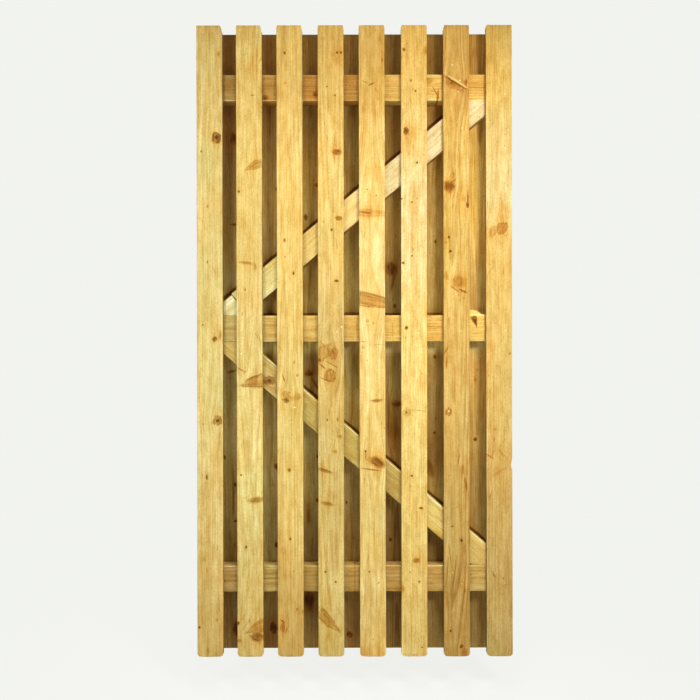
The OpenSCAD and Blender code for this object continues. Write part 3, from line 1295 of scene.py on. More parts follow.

# The front palings' drift is partly their own wood's tone and partly painted light and shade.
FRONT_BOARDS = (
    Character(
        Grain(1.3, 14, 60, -9, 9, 7.1, contrast=0.68, salt=0.75), STRAW, tint=(0.90, 0.89, 0.96),
        shade=ENDS, corners=((1.0, 3.0), (6.0, 22.0)), sway=0.6,
        drift=(
            (130, 104, 100, 98), (360, 100, 110, 128), (770, 94, 103, 120), (1140, 86, 90, 98),
            (1480, 98, 110, 132), (1700, 102, 104, 106),
        ),
        knots=(
            smudge(27, 1719, 4, 7), eye(20, 1480, 12, 15.5), pin(-23, 1441, 3, 4, 0, 0.7),
            pin(-5, 1284, 2.5, 4, 0, 0.7), pin(-6, 1126, 2.5, 4.5, 0, 0.7), pin(-19, 946, 2, 2.5),
            eye(15, 906, 7, 7, 60, 0.9), slit(30, 915, 2.5, 13, 0, 0.7), eye(22, 674, 13, 13, 0, 0.85),
            flame(20, 697, 8, 10, 0, 0.5), slit(29, 625, 1.5, 36, -2, 0.5), pin(-9, 512, 2.5, 7),
            pin(-19, 664, 2, 2, 0, 0.6), smudge(-18, 278, 6, 6, 0, 0.5), slit(21, 310, 1.5, 8, 0, 0.6),
            slit(-9, 246, 1.5, 8, 0, 0.7), pin(-31, 84, 4, 4), slit(20, 105, 2, 6, 0, 0.7),
            smudge(-6, 17, 3, 9, 0, 0.8),
        ),
    ),
    Character(
        Grain(2.7, -6, 38, 7, -16, 6.5, contrast=0.75, salt=0.55), STRAW, tint=(0.95, 0.95, 0.98),
        shade=ENDS, corners=((1.5, 6.0), (5.0, 18.0)), lean=-1.5,
        drift=(
            (130, 103, 108, 122), (570, 103, 117, 138), (880, 86, 96, 109), (1150, 92, 92, 100),
            (1480, 106, 106, 112), (1600, 100, 100, 100), (1730, 110, 116, 128),
        ),
        knots=(
            flame(28, 1690, 20, 18, 60, 0.8), slit(34, 1705, 3, 12, -30, 0.5),
            slit(-20, 1752, 1.5, 12, 0, 0.6), slit(9, 1600, 1.8, 6, 84, 0.8), spike(13, 1400, 11, 25, -64),
            slit(8, 1399, 3, 12, -60, 0.8), slit(22, 1408, 2.4, 14, -70, 0.8), pin(-30, 1326, 3, 4),
            smudge(-10, 1123, 4, 18, 84, 1.2), slit(-2, 1119, 1.6, 22, 80, 0.5),
            smudge(16, 1112, 4, 10, 0, 0.9), pin(-12, 1046, 2, 3, 0, 0.7), slit(6, 1020, 1.2, 20, 0, 0.5),
            slit(20, 915, 1.5, 14, 25, 0.4), slit(29, 905, 1.2, 10, 20, 0.4),
            slit(-26, 819, 2, 11, 60, 0.8), slit(-12, 813, 1.8, 8, -40, 0.6),
            spike(20, 785, 16, 44, -76, 1.3), slit(14, 799, 2.8, 28, -68), slit(10, 772, 2, 26, 80, 0.7),
            pin(-25, 518, 3, 3), smudge(18, 447, 8, 20, -82, 1.3), slit(20, 450, 2.5, 13, -80, 0.9),
            pin(-11, 313, 3, 4), smudge(-17, 236, 4, 3, 0, 0.4), pin(-33, 96, 3, 6), smudge(-31, 46, 6, 5),
            spike(24, 84, 15, 36, -68, 1.1), smudge(20, 57, 13, 19, 84, 1.6), pin(21, 57, 5, 3, 0, 0.7),
            slit(-20, 112, 1.5, 22, -30, 0.4), slit(-12, 92, 1.5, 26, -32, 0.4),
        ),
    ),
    Character(
        Grain(3.9, -20, 52, 10, 12, 6.1, contrast=0.75, salt=0.3), GOLD, tint=(0.96, 0.95, 0.96),
        shade=ENDS, corners=((1.5, 6.0), (4.0, 17.0)), lean=-1.2,
        drift=(
            (130, 88, 84, 80), (360, 98, 106, 118), (570, 94, 107, 126), (870, 86, 96, 108),
            (1150, 91, 95, 102), (1420, 103, 109, 118), (1610, 98, 95, 90), (1730, 107, 110, 109),
        ),
        knots=(
            pin(-14, 1721, 2.8, 5, 25), pin(-13, 1635, 2, 3, 0, 0.6), pin(-15, 1187, 3.5, 6, 0, 0.8),
            pin(-14, 1140, 2.5, 3, 0, 0.6), pin(10, 1093, 3, 5, 0, 0.9), slit(8, 1120, 1, 14, 0, 0.5),
            slit(-28, 880, 1.5, 14, 30, 0.4), slit(-19, 795, 2, 11, 17), pin(20, 802, 4, 4, 0, 0.6),
            ring(-10, 748, 10, 10, 0, 0.9), eye(-12, 731, 6, 10, 68, 0.9), ring(20, 742, 9, 10, 0, 0.8),
            smudge(4, 736, 6, 16, 80, 0.7), flame(0, 728, 28, 18, 0, 0.7), pin(-3, 532, 5, 5, 0, 0.8),
            pin(0, 336, 3, 3.5), pin(10, 243, 2, 3, 0, 0.5), smudge(-20, 302, 10, 14, 0, 0.5),
            ring(-23, 84, 7, 12, -10), slit(-23, 101, 2.5, 8, 50), slit(-12, 76, 2, 10, -20, 0.8),
            pin(18, 135, 2, 4, 0, 0.7),
        ),
    ),
    Character(
        Grain(5.1, 8, 34, -5, -20, 7.5, contrast=0.83, salt=0.45), STRAW, tint=(0.94, 0.92, 0.91),
        shade=ENDS, corners=((1.0, 4.0), (2.5, 13.0)), lean=1.3,
        drift=(
            (130, 100, 115, 140), (360, 93, 98, 110), (570, 84, 89, 96), (960, 82, 83, 90),
            (1150, 94, 95, 98), (1330, 110, 110, 120), (1600, 102, 99, 93), (1730, 107, 99, 91),
        ),
        knots=(
            pin(19, 1722, 3, 4), pin(30, 1722, 3, 4), smudge(-22, 1762, 7, 6, 0, 0.5),
            smudge(5, 1764, 5, 8, 0, 0.5), smudge(18, 1698, 8, 26, 34, 0.45), pin(-10, 1625, 2, 2.5),
            pin(13, 1600, 2.5, 3), smudge(18, 1438, 8, 13, 88, 1.5), pin(21, 1441, 3, 3),
            smudge(23, 1250, 6, 10, 84, 1.5), pin(3, 1217, 3.2, 4), pin(-20, 1240, 2, 3, 0, 0.5),
            pin(16, 1071, 3.5, 6, 84, 0.9), slit(-4, 930, 1.5, 30, 0, 0.4), slit(17, 940, 1.5, 36, 0, 0.4),
            ring(-24, 864, 16, 26, 150, 0.8), slit(-14, 880, 2, 26, 42, 0.7),
            ring(8, 864, 11, 15, -20, 0.9), slit(6, 868, 2.5, 10, 30, 0.9), eye(-33, 846, 4, 4),
            slit(-26, 829, 2, 12, 50), ring(-2, 801, 14, 16, 0, 1.1), slit(2, 833, 2, 18, 60, 0.7),
            slit(-14, 789, 2.5, 18, 68, 0.9), pin(-11, 675, 2.5, 4, 0, 0.8), flame(10, 700, 16, 46, 0, 0.5),
            smudge(24, 628, 7, 5), smudge(11, 585, 6, 5), slit(9, 606, 1.5, 14, -10, 0.6),
            smudge(-17, 530, 5, 19, 72, 1.4), slit(-18, 527, 1.8, 15, 70, 0.6),
            smudge(-12, 436, 5, 16, 80, 1.3), slit(-11, 434, 1.6, 13, 80, 0.5),
            slit(6, 452, 1.6, 16, 0, 0.5), pin(-17, 242, 2.8, 3), pin(12, 213, 2.8, 3),
            bar(-14, 105, 13, 44, 46, 1.25), slit(-16, 128, 2.2, 22, 42, 0.8),
            slit(22, 128, 3, 22, 30, 0.35),
        ),
    ),
    Character(
        Grain(6.4, -10, 46, 6, 10, 5.8, contrast=0.75, salt=0.25), HONEY, tint=(0.98, 0.96, 0.96),
        shade=ENDS, corners=((1.5, 6.0), (2.0, 7.0)), lean=-1.0,
        drift=(
            (130, 98, 107, 120), (400, 90, 105, 124), (770, 91, 96, 100), (960, 90, 98, 115),
            (1150, 98, 108, 136), (1420, 100, 110, 126), (1620, 92, 89, 78), (1730, 96, 87, 73),
        ),
        knots=(
            smudge(21, 1763, 4, 8, 0, 0.6), pin(29, 1700, 2, 5, 0, 0.7), slit(-18, 1637, 1.8, 11, 60, 0.6),
            slit(-2, 1632, 2.4, 9, -64), slit(12, 1616, 2, 8, 30, 0.5), smudge(18, 1588, 3, 8, 0, 0.5),
            pin(-14, 1332, 2.2, 2.5, 0, 0.8), pin(12, 1314, 2, 3, 0, 0.8), flame(0, 1378, 46, 12, 0, 0.7),
            flame(0, 1267, 44, 9), bar(0, 1264, 10, 46, 87, 0.8), slit(-20, 1266, 3, 20, 82),
            bar(0, 1015, 17, 62, 79, 1.35), slit(10, 1029, 2.6, 30, 72), slit(-4, 1001, 2, 32, 80, 0.6),
            slit(10, 1016, 1.6, 24, 76, 0.6), flame(-12, 1008, 22, 10, 70), pin(-13, 958, 3.5, 4, 0, 0.8),
            slit(-27, 898, 0.9, 9, 90, 0.8), slit(20, 889, 0.9, 16, 86, 0.6), slit(13, 731, 3.2, 19, -84),
            smudge(14, 730, 5, 16, -84, 1.2), pin(33, 652, 3, 2, 0, 0.6), pin(-20, 585, 3, 4),
            slit(-20, 572, 2, 12, 0, 0.8), smudge(14, 554, 13, 22, 62, 1.7),
            slit(20, 547, 3.5, 13, 60, 0.9), flame(5, 565, 20, 16), slit(-4, 533, 2.2, 26, 82, 0.9),
            pin(-10, 242, 2.5, 2.5, 0, 0.8), pin(17, 210, 2, 2.5, 0, 0.7), flame(0, 6, 40, 10, 0, 0.6),
        ),
    ),
    Character(
        Grain(7.8, 5, 50, -8, 8, 7.8, contrast=0.60, salt=0.3), HONEY, tint=(0.98, 0.97, 0.97), shade=ENDS,
        corners=((2.0, 8.0), (1.5, 6.0)), lean=1.4,
        drift=(
            (130, 97, 104, 110), (570, 98, 104, 108), (900, 95, 102, 105), (1200, 99, 106, 145),
            (1330, 99, 107, 150), (1490, 100, 99, 102), (1690, 102, 94, 77),
        ),
        knots=(
            pin(-28, 1730, 4, 6, 0, 0.9), smudge(33, 1727, 5, 12), pin(-8, 1642, 2.5, 4, 0, 0.9),
            pin(5, 1612, 3, 4), eye(-22, 1498, 6.5, 10), flame(-8, 1490, 10, 20),
            smudge(-1, 1450, 5, 12, 20, 0.5), pin(9, 1408, 3.2, 3.8), smudge(-14, 1433, 3, 5, 0, 0.5),
            pin(-35, 1305, 3, 3), pin(-6, 1295, 3.2, 3.2, 0, 0.9), pin(-6, 1142, 3, 3, 0, 0.9),
            pin(-31, 1122, 4, 4), eye(-22, 937, 4.5, 5.5), ring(-22, 697, 11, 12, 0, 0.7),
            pin(-23, 696, 3, 4, 0, 0.9), slit(13, 701, 1.2, 24, 84, 0.6), slit(34, 711, 1.2, 10, -20, 0.5),
            pin(-8, 515, 4, 3.5, 0, 0.9), pin(-12, 485, 3, 3, 0, 0.5), eye(18, 423, 3, 5.5, 84),
            smudge(5, 274, 7, 9, 84, 1.5), pin(-12, 240, 3, 3, 0, 0.9), pin(13, 213, 3, 3),
            smudge(-34, 192, 5, 9), pin(21, 26, 2.5, 2.5), slit(-10, 60, 1.2, 40, 0, 0.5),
        ),
    ),
    Character(
        Grain(9.2, -14, 30, 4, -24, 7.1, contrast=1.00, salt=0.2), AMBER, tint=(0.90, 0.90, 0.92),
        shade=ENDS, corners=((3.0, 12.0), (1.5, 6.0)), lean=0.6, tear=Tear((-32, 1661), (33, 1619)),
        drift=(
            (130, 84, 90, 96), (400, 86, 97, 110), (770, 93, 100, 105), (1150, 98, 109, 112),
            (1390, 106, 116, 118), (1500, 117, 125, 122), (1620, 103, 102, 99), (1730, 108, 104, 95),
        ),
        knots=(
            smudge(-3, 1627, 11, 30, 58, 0.9), slit(-5, 1637, 3.2, 38, 58), eye(-14, 1635, 6, 5, 30, 0.8),
            smudge(27, 1636, 5, 8, 0, 1.3), flame(0, 1610, 26, 22, 0, 0.6),
            smudge(-20, 1340, 13, 16, 10, 1.9), smudge(-30, 1336, 5, 8, 0, 1.6),
            smudge(-8, 1340, 5, 5, 0, 1.4), smudge(-14, 1366, 6, 16, -20, 0.8), slit(-24, 1342, 4, 16, 40),
            slit(-12, 1352, 2.5, 16, -50, 0.9), slit(-16, 1330, 2, 18, 0, 0.8), slit(33, 1305, 2.6, 20),
            eye(32, 1287, 4, 9), flame(24, 1305, 14, 26), smudge(22, 1305, 6, 12, 30, 0.6),
            pin(-21, 1195, 3.5, 4), pin(-17, 1155, 3.2, 5, -60), pin(-29, 1180, 2, 3, 0, 0.6),
            smudge(-30, 1085, 6, 12, 0, 0.8), slit(-32, 1090, 2, 12, -20, 0.6),
            slit(-4, 1047, 2.2, 15, 54, 0.8), slit(18, 1042, 3, 13, 66, 0.9),
            smudge(6, 1068, 18, 16, 0, 1.1), smudge(-22, 958, 3, 10, 0, 0.8),
            slit(-30, 872, 2, 12, -30, 0.8), slit(-29, 838, 2.5, 14, 0, 0.7), ring(-23, 698, 8, 11, 0, 1.2),
            slit(5, 562, 2, 16, -8, 0.8), slit(18, 534, 1.8, 14, 0, 0.6), slit(26, 490, 3, 18, 8, 0.8),
            pin(-13, 371, 2.8, 3), eye(13, 331, 3, 5), slit(-20, 290, 2, 34, 6, 0.6),
            slit(-8, 230, 2, 44, -8, 0.7), slit(-28, 240, 2, 40, -4, 0.7), slit(6, 220, 2, 36, 0, 0.5),
            eye(-19, 73, 3.2, 4), eye(12, 29, 4, 6, -60, 0.9), smudge(20, 12, 8, 10, 0, 0.7),
        ),
    ),
    Character(
        Grain(10.6, 16, 42, -6, 14, 6.1, contrast=0.55, salt=0.35, streak=0.5), GOLD,
        tint=(0.91, 0.87, 0.88), shade=ENDS, corners=((2.0, 8.0), (1.0, 3.0)), sway=-0.6,
        nicks=(Nick(547, 1.0, 4.5, 11),),
        drift=(
            (130, 81, 87, 93), (360, 78, 80, 82), (620, 89, 94, 100), (1140, 95, 96, 94),
            (1330, 102, 118, 160), (1480, 110, 118, 142), (1610, 112, 114, 105), (1730, 101, 99, 86),
        ),
        knots=(
            ring(9, 1220, 14, 16, -35, 1.1), ring(-16, 1212, 11, 15, -30, 0.7),
            slit(-24, 1206, 2, 14, -20, 0.6), flame(6, 1250, 12, 22), slit(-25, 1100, 1.5, 12, -40, 0.4),
            slit(11, 1098, 1.2, 10, 0, 0.7), pin(30, 863, 2.5, 4, 0, 0.7), pin(-13, 647, 2.8, 3, 0, 0.6),
            slit(-29, 571, 1.8, 14, 56, 0.8), slit(-20, 578, 1.6, 12, -12, 0.5),
            slit(4, 580, 1.8, 16, 32, 0.6), slit(14, 572, 1.6, 18, 34, 0.5),
            slit(22, 566, 1.6, 20, -30, 0.5), smudge(20, 548, 12, 22, -26, 0.5),
            slit(4, 530, 2, 24, -58, 0.5), smudge(-12, 524, 12, 16, -50, 0.4),
            slit(-27, 458, 1.8, 15, -18, 0.6), slit(-17, 232, 2.5, 9, 20, 0.8), pin(10, 222, 2, 4, 0, 0.5),
        ),
    ),
)

# The back boards' low tints, end shade and drift are partly their darker wood and partly painted light and
# shade in the gaps, where the front palings shadow them.
BACK_BOARDS = (
    Character(
        Grain(21.1, 10, -40, 8, 12, contrast=1.0, salt=0.5), GOLD, tint=(0.36, 0.33, 0.30),
        shade=Shade(head=0.15, head_reach=420, foot=0.25, foot_reach=500),
        drift=(
            (50, 110, 118, 145), (310, 92, 104, 115), (480, 118, 139, 170), (700, 134, 166, 230),
            (1120, 142, 162, 220), (1240, 105, 105, 120), (1460, 95, 80, 92), (1740, 96, 77, 70),
        ),
        contact_shadows=(brace_contact_shadow(1048, -50),),
        knots=(
            smudge(3, 1496, 8, 15, 0, 1.8), slit(6, 1243, 3.5, 12, 90), slit(-4, 812, 3.5, 12, -75),
            pin(-26, 560, 4, 6), pin(5, 480, 4, 6), pin(6, 373, 5, 4), slit(0, 450, 3, 70, 0, 0.8),
            smudge(8, 56, 9, 20, 0, 1.8),
        ),
    ),
    Character(
        Grain(22.5, -12, -52, -6, 10, contrast=1.0, salt=0.5), STRAW, tint=(0.48, 0.46, 0.44),
        shade=Shade(head=0.30, head_reach=500, foot=0.15, foot_reach=500), under_rail_light=(1.48, 1.75, 2.10),
        drift=(
            (50, 72, 56, 48), (130, 95, 90, 86), (330, 93, 104, 125), (580, 125, 143, 172),
            (800, 122, 132, 155), (1130, 108, 100, 100), (1340, 133, 133, 128), (1530, 103, 84, 75),
        ),
        contact_shadows=(RAIL_CONTACT_SHADOW, brace_contact_shadow(1143, -50)),
        knots=(
            eye(15, 1346, 4, 6), eye(11, 533, 5, 8), pin(12, 303, 5, 8), eye(2, 60, 10, 16),
            smudge(10, 740, 10, 20, 20, 0.6),
        ),
    ),
    Character(
        Grain(23.9, 4, -36, 9, -15, contrast=1.0, salt=0.6), GOLD, tint=(0.54, 0.50, 0.48),
        shade=Shade(head=0.30, head_reach=500, foot=0.30, foot_reach=500), under_rail_light=(2.02, 2.60, 3.20),
        drift=(
            (50, 90, 90, 90), (130, 66, 58, 56), (310, 59, 57, 58), (480, 85, 100, 105),
            (640, 112, 134, 162), (820, 76, 82, 90), (1080, 107, 114, 104), (1390, 102, 108, 95),
            (1480, 87, 79, 62),
        ),
        contact_shadows=(RAIL_CONTACT_SHADOW, brace_contact_shadow(1238, -50), brace_contact_shadow(747, 50)),
        knots=(
            eye(16, 1358, 4, 6), eye(-17, 1264, 5, 9), pin(17, 562, 4, 5), pin(16, 434, 4, 6),
            smudge(-8, 806, 12, 8, 0, 1.8), slit(10, 775, 4, 26, 30, 0.9), smudge(-10, 390, 5, 30, 0, 1.3),
            smudge(-8, 140, 14, 24, 0, 1.8),
        ),
    ),
    Character(
        Grain(25.2, -8, -45, -7, 12, contrast=1.0, salt=0.6), STRAW, tint=(0.56, 0.53, 0.52),
        shade=Shade(head=0.30, head_reach=500, foot=0.10, foot_reach=500), under_rail_light=(1.29, 1.35, 1.82),
        drift=(
            (50, 80, 67, 68), (310, 72, 66, 56), (430, 90, 90, 93), (730, 110, 120, 120), (820, 88, 92, 84),
            (1130, 110, 112, 105), (1430, 86, 82, 68), (1740, 93, 81, 63),
        ),
        contact_shadows=(slit(0, 980, 5, 44, 90), brace_contact_shadow(1336, -50), brace_contact_shadow(646, 50)),
        knots=(pin(-16, 427, 3, 4), smudge(6, 900, 8, 20, 0, 0.5), eye(-8, 40, 8, 9, 0, 0.9)),
    ),
    Character(
        Grain(26.6, 15, -38, 5, -14, contrast=1.1, salt=0.4), AMBER, tint=(0.58, 0.54, 0.50),
        shade=Shade(head=0.30, head_reach=500, foot=0.30, foot_reach=500), under_rail_light=(1.88, 2.10, 3.05),
        drift=(
            (50, 67, 70, 76), (320, 57, 57, 56), (560, 86, 98, 105), (640, 68, 74, 76), (810, 81, 92, 100),
            (1080, 65, 68, 70), (1300, 103, 110, 100), (1460, 78, 73, 56), (1740, 77, 78, 72),
        ),
        contact_shadows=(RAIL_CONTACT_SHADOW, brace_contact_shadow(1434, -50), brace_contact_shadow(545, 50)),
        knots=(
            pin(8, 1003, 4, 6), smudge(-2, 1112, 15, 18, 0, 1.7), slit(4, 1080, 4, 30, -12, 0.8),
            smudge(14, 716, 12, 9, 0, 1.8), slit(-12, 690, 3, 90, 0, 0.6), smudge(6, 650, 13, 56),
            eye(-6, 318, 4, 6),
        ),
    ),
    Character(
        Grain(27.3, -5, -50, -9, 11, contrast=1.0, salt=0.5), GOLD, tint=(0.60, 0.57, 0.56),
        shade=Shade(head=0.10, head_reach=500, foot=0.10, foot_reach=500), under_rail_light=(1.70, 2.26, 3.20),
        drift=(
            (50, 76, 73, 76), (310, 50, 44, 40), (480, 83, 82, 72), (560, 54, 45, 34), (720, 73, 70, 66),
            (820, 93, 86, 74), (1120, 105, 110, 98), (1390, 110, 103, 88), (1740, 72, 63, 46),
        ),
        contact_shadows=(RAIL_CONTACT_SHADOW, brace_contact_shadow(1533, -50), brace_contact_shadow(443, 50)),
        knots=(
            pin(8, 1192, 3.5, 5), pin(5, 854, 4, 5), pin(4, 631, 4, 4), smudge(-12, 525, 14, 26, 20, 1.2),
        ),
    ),
    Character(
        Grain(28.8, 9, -42, 6, 13, contrast=1.0, salt=0.4), RUSSET, tint=(0.88, 0.84, 0.74),
        shade=Shade(head=0.15, head_reach=400, foot=0.35, foot_reach=600), under_rail_light=(0.95, 1.30, 1.84),
        drift=(
            (50, 72, 78, 95), (430, 74, 78, 83), (650, 88, 86, 80), (820, 118, 125, 134),
            (1040, 100, 108, 118), (1220, 134, 155, 162), (1400, 134, 156, 156), (1560, 130, 134, 125),
            (1740, 97, 92, 74),
        ),
        contact_shadows=(brace_contact_shadow(339, 50),),
        knots=(smudge(2, 786, 4, 5), pin(2, 611, 5, 6), slit(-4, 1450, 1.5, 60, 0, 0.5)),
    ),
)

# The rails' tints, end shade and drift are partly their own wood and partly painted light and shade along
# them.
RAIL_BOARDS = (
    Character(
        Grain(31.4, 30, 20, 5, 8, 3.4, contrast=0.8, salt=0.2), RUSSET, tint=(0.88, 0.84, 0.84), ledge=0.5,
        soffit=1.0, shade=Shade(foot=0.45, foot_reach=560), ragged=1.0,
        drift=(
            (90, 83, 88, 88), (210, 100, 96, 80), (320, 88, 72, 52), (440, 78, 66, 46),
            (560, 120, 128, 115), (680, 136, 155, 150), (800, 133, 138, 120),
        ),
        knots=(
            slit(-3, 708, 3, 32, 98), slit(4, 752, 1.5, 22, 90, 0.6), smudge(-18, 664, 9, 12, 20, 0.9),
            smudge(28, 195, 7, 9, 0, 1.6), smudge(18, 340, 7, 8, 0, 1.5), slit(30, 690, 3, 24, 84),
            slit(16, 686, 2.4, 18, 120, 0.9),
        ),
    ),
    Character(
        Grain(32.6, -28, 26, -4, 6, 3.0, contrast=0.75, salt=0.2), GOLD, tint=(0.78, 0.76, 0.78),
        ledge=0.25, soffit=1.0, shade=Shade(foot=0.25, foot_reach=300), ragged=1.0,
        nicks=(Nick(768, -1, -15, 30, -1), Nick(797, -1, -11, 14, -1)),
        drift=(
            (90, 77, 90, 100), (210, 86, 93, 96), (440, 93, 92, 80), (560, 106, 108, 93),
            (680, 109, 102, 78), (800, 125, 136, 135),
        ),
        knots=(
            rip(-19, 797, 6.5, 18, 106), slit(-6, 456, 1.5, 14, 90, 0.5), slit(8, 560, 1.5, 22, 90, 0.5),
        ),
    ),
    Character(
        Grain(33.8, 24, 18, 6, -10, 2.6, contrast=1.0, salt=0.4), STRAW, tint=(0.58, 0.56, 0.60),
        shade=Shade(foot=0.1, foot_reach=500), ragged=2.2, rough=0.6, ledge=1.0, soffit=0.5,
        drift=(
            (90, 103, 100, 100), (210, 110, 116, 108), (320, 97, 95, 86), (560, 110, 103, 93),
            (680, 120, 110, 96), (800, 134, 138, 132),
        ),
        knots=(
            slit(-12, 450, 1.3, 480, 90, 0.7), slit(16, 450, 1.3, 480, 90, 0.6),
            slit(3, 450, 1.0, 480, 90, 0.4),
        ),
    ),
)

# The braces' drift is partly their own wood and partly painted shade where the palings shadow them; the
# lower brace's ledge is painted light on its top face.
UPPER_BRACE = Character(
    Grain(41.3, 12, 40, 5, 10, 4.6, contrast=0.16, salt=0.3, streak=0.2), CREAM, crevice=0.6,
    drift=(
        (115, 73, 77, 65), (265, 77, 67, 45), (420, 92, 82, 64), (570, 84, 85, 89), (730, 97, 94, 102),
        (885, 104, 102, 110),
    ),
)
LOWER_BRACE = Character(
    Grain(42.9, -10, 36, -6, 12, 4.6, contrast=0.36, salt=0.3, streak=0.4), HONEY, ledge=1.0,
    tint=(0.88, 0.86, 0.84),
    drift=(
        (80, 64, 66, 60), (230, 63, 69, 74), (380, 61, 66, 57), (540, 64, 68, 57), (690, 63, 63, 52),
        (850, 97, 109, 109), (1010, 90, 91, 83),
    ),
    knots=(eye(9, 234, 12, 16, 40, 0.8), flame(6, 244, 18, 34)),
)
BRACE_BLOCK = Character(
    Grain(44.2, 20, 30, 0, 0, contrast=0.2, salt=0.5, streak=0.3), CREAM, tint=(0.80, 0.94, 1.19),
)


# ---- Sub-assemblies ----


@dataclass
class FrontPalings:
    """The front skin: upright boards with rounded feet.

    Attributes:
        mill: Shapes the boards.
        foot_radius: Radius of the lower corners.
        arris: Radius of the long edges.
        splinter: Width and thickness of the splinter on a torn board, and how far it stands out.
        characters: One for each board, from the hinge edge.
    """

    mill: Sawmill
    foot_radius: float = 10.0
    arris: float = 2.0
    splinter: tuple[float, float, float] = (6.0, 3.6, 1.3)
    characters: tuple[Character, ...] = FRONT_BOARDS

    def build(self) -> list[Board]:
        """Makes the boards.

        Returns:
            Their places and sizes.
        """
        boards = []
        for number, character in enumerate(self.characters, start=1):
            board = read_board(f"paling_{number}", "front_timber", self.arris * MM)
            self.mill.make(board, character, self.foot_radius * MM)
            if character.tear is not None:
                self.build_splinter(board, character.tear)
            boards.append(board)
        return boards

    def build_splinter(self, paling: Board, tear: Tear) -> None:
        """Makes the long splinter that stands along a tear's crest, let into the face.

        Args:
            paling: The paling.
            tear: The tear.
        """
        begin, end = Vector(tear.start), Vector(tear.stop)
        begin += (end - begin) * 0.14
        run = (begin - end) * MM
        middle = (begin + end) / 2 * MM
        foot = paling.centre - Vector((0.0, paling.through / 2, paling.length / 2))
        centre = foot + Vector((middle.x, (self.splinter[1] / 2 - self.splinter[2]) * MM, middle.y))
        board = Board(
            f"{paling.node}_splinter", paling.slot, centre, math.atan2(run.x, run.y), self.splinter[0] * MM,
            self.splinter[1] * MM, run.length, 1.3 * MM,
        )
        shape = self.mill.blank(board)
        self.mill.ease_ends(shape)
        self.mill.divide(shape, board)
        for vert in shape.verts:
            share = 2.0 * vert.co.z / board.length
            vert.co.x *= 1.0 - 0.55 * share * share
            vert.co.x += 1.2 * MM * noise.noise(Vector((3.0 * share, 1.0, 0.0)))
            vert.co.y += 0.5 * MM * share * share
        bmesh.ops.transform(shape, matrix=board.place, verts=shape.verts)
        bmesh.ops.recalc_face_normals(shape, faces=shape.faces)
        wood = Character(Grain(9.7, 0, 30, ring=5.0, contrast=0.4, salt=0.1), HONEY, tint=(1.0, 0.96, 0.92))
        material = self.mill.timber.material(board, wood)
        finish_piece(shape, board.node, None, material)


@dataclass
class BackPalings:
    """The back skin: upright boards that close the gaps.

    Attributes:
        mill: Shapes the boards.
        arris: Radius of the long edges.
        characters: One for each board, from the hinge edge.
    """

    mill: Sawmill
    arris: float = 2.0
    characters: tuple[Character, ...] = BACK_BOARDS

    def build(self) -> list[Board]:
        """Makes the boards.

        Returns:
            Their places and sizes.
        """
        boards = []
        for number, character in enumerate(self.characters, start=1):
            board = read_board(f"back_paling_{number}", "back_timber", self.arris * MM)
            self.mill.make(board, character)
            boards.append(board)
        return boards


@dataclass
class Rails:
    """The three level rails that carry the palings.

    Attributes:
        mill: Shapes the boards.
        arris: Radius of the long edges.
        nodes: The rails' nodes.
        characters: One for each rail, in the same order.
    """

    mill: Sawmill
    arris: float = 2.5
    nodes: tuple[str, ...] = ("top_rail", "middle_rail", "bottom_rail")
    characters: tuple[Character, ...] = RAIL_BOARDS

    def build(self) -> list[Board]:
        """Makes the rails.

        Returns:
            Their places and sizes.
        """
        boards = []
        for node, character in zip(self.nodes, self.characters):
            board = read_board(node, "rail_timber", self.arris * MM, level=True)
            self.mill.make(board, character)
            boards.append(board)
        return boards


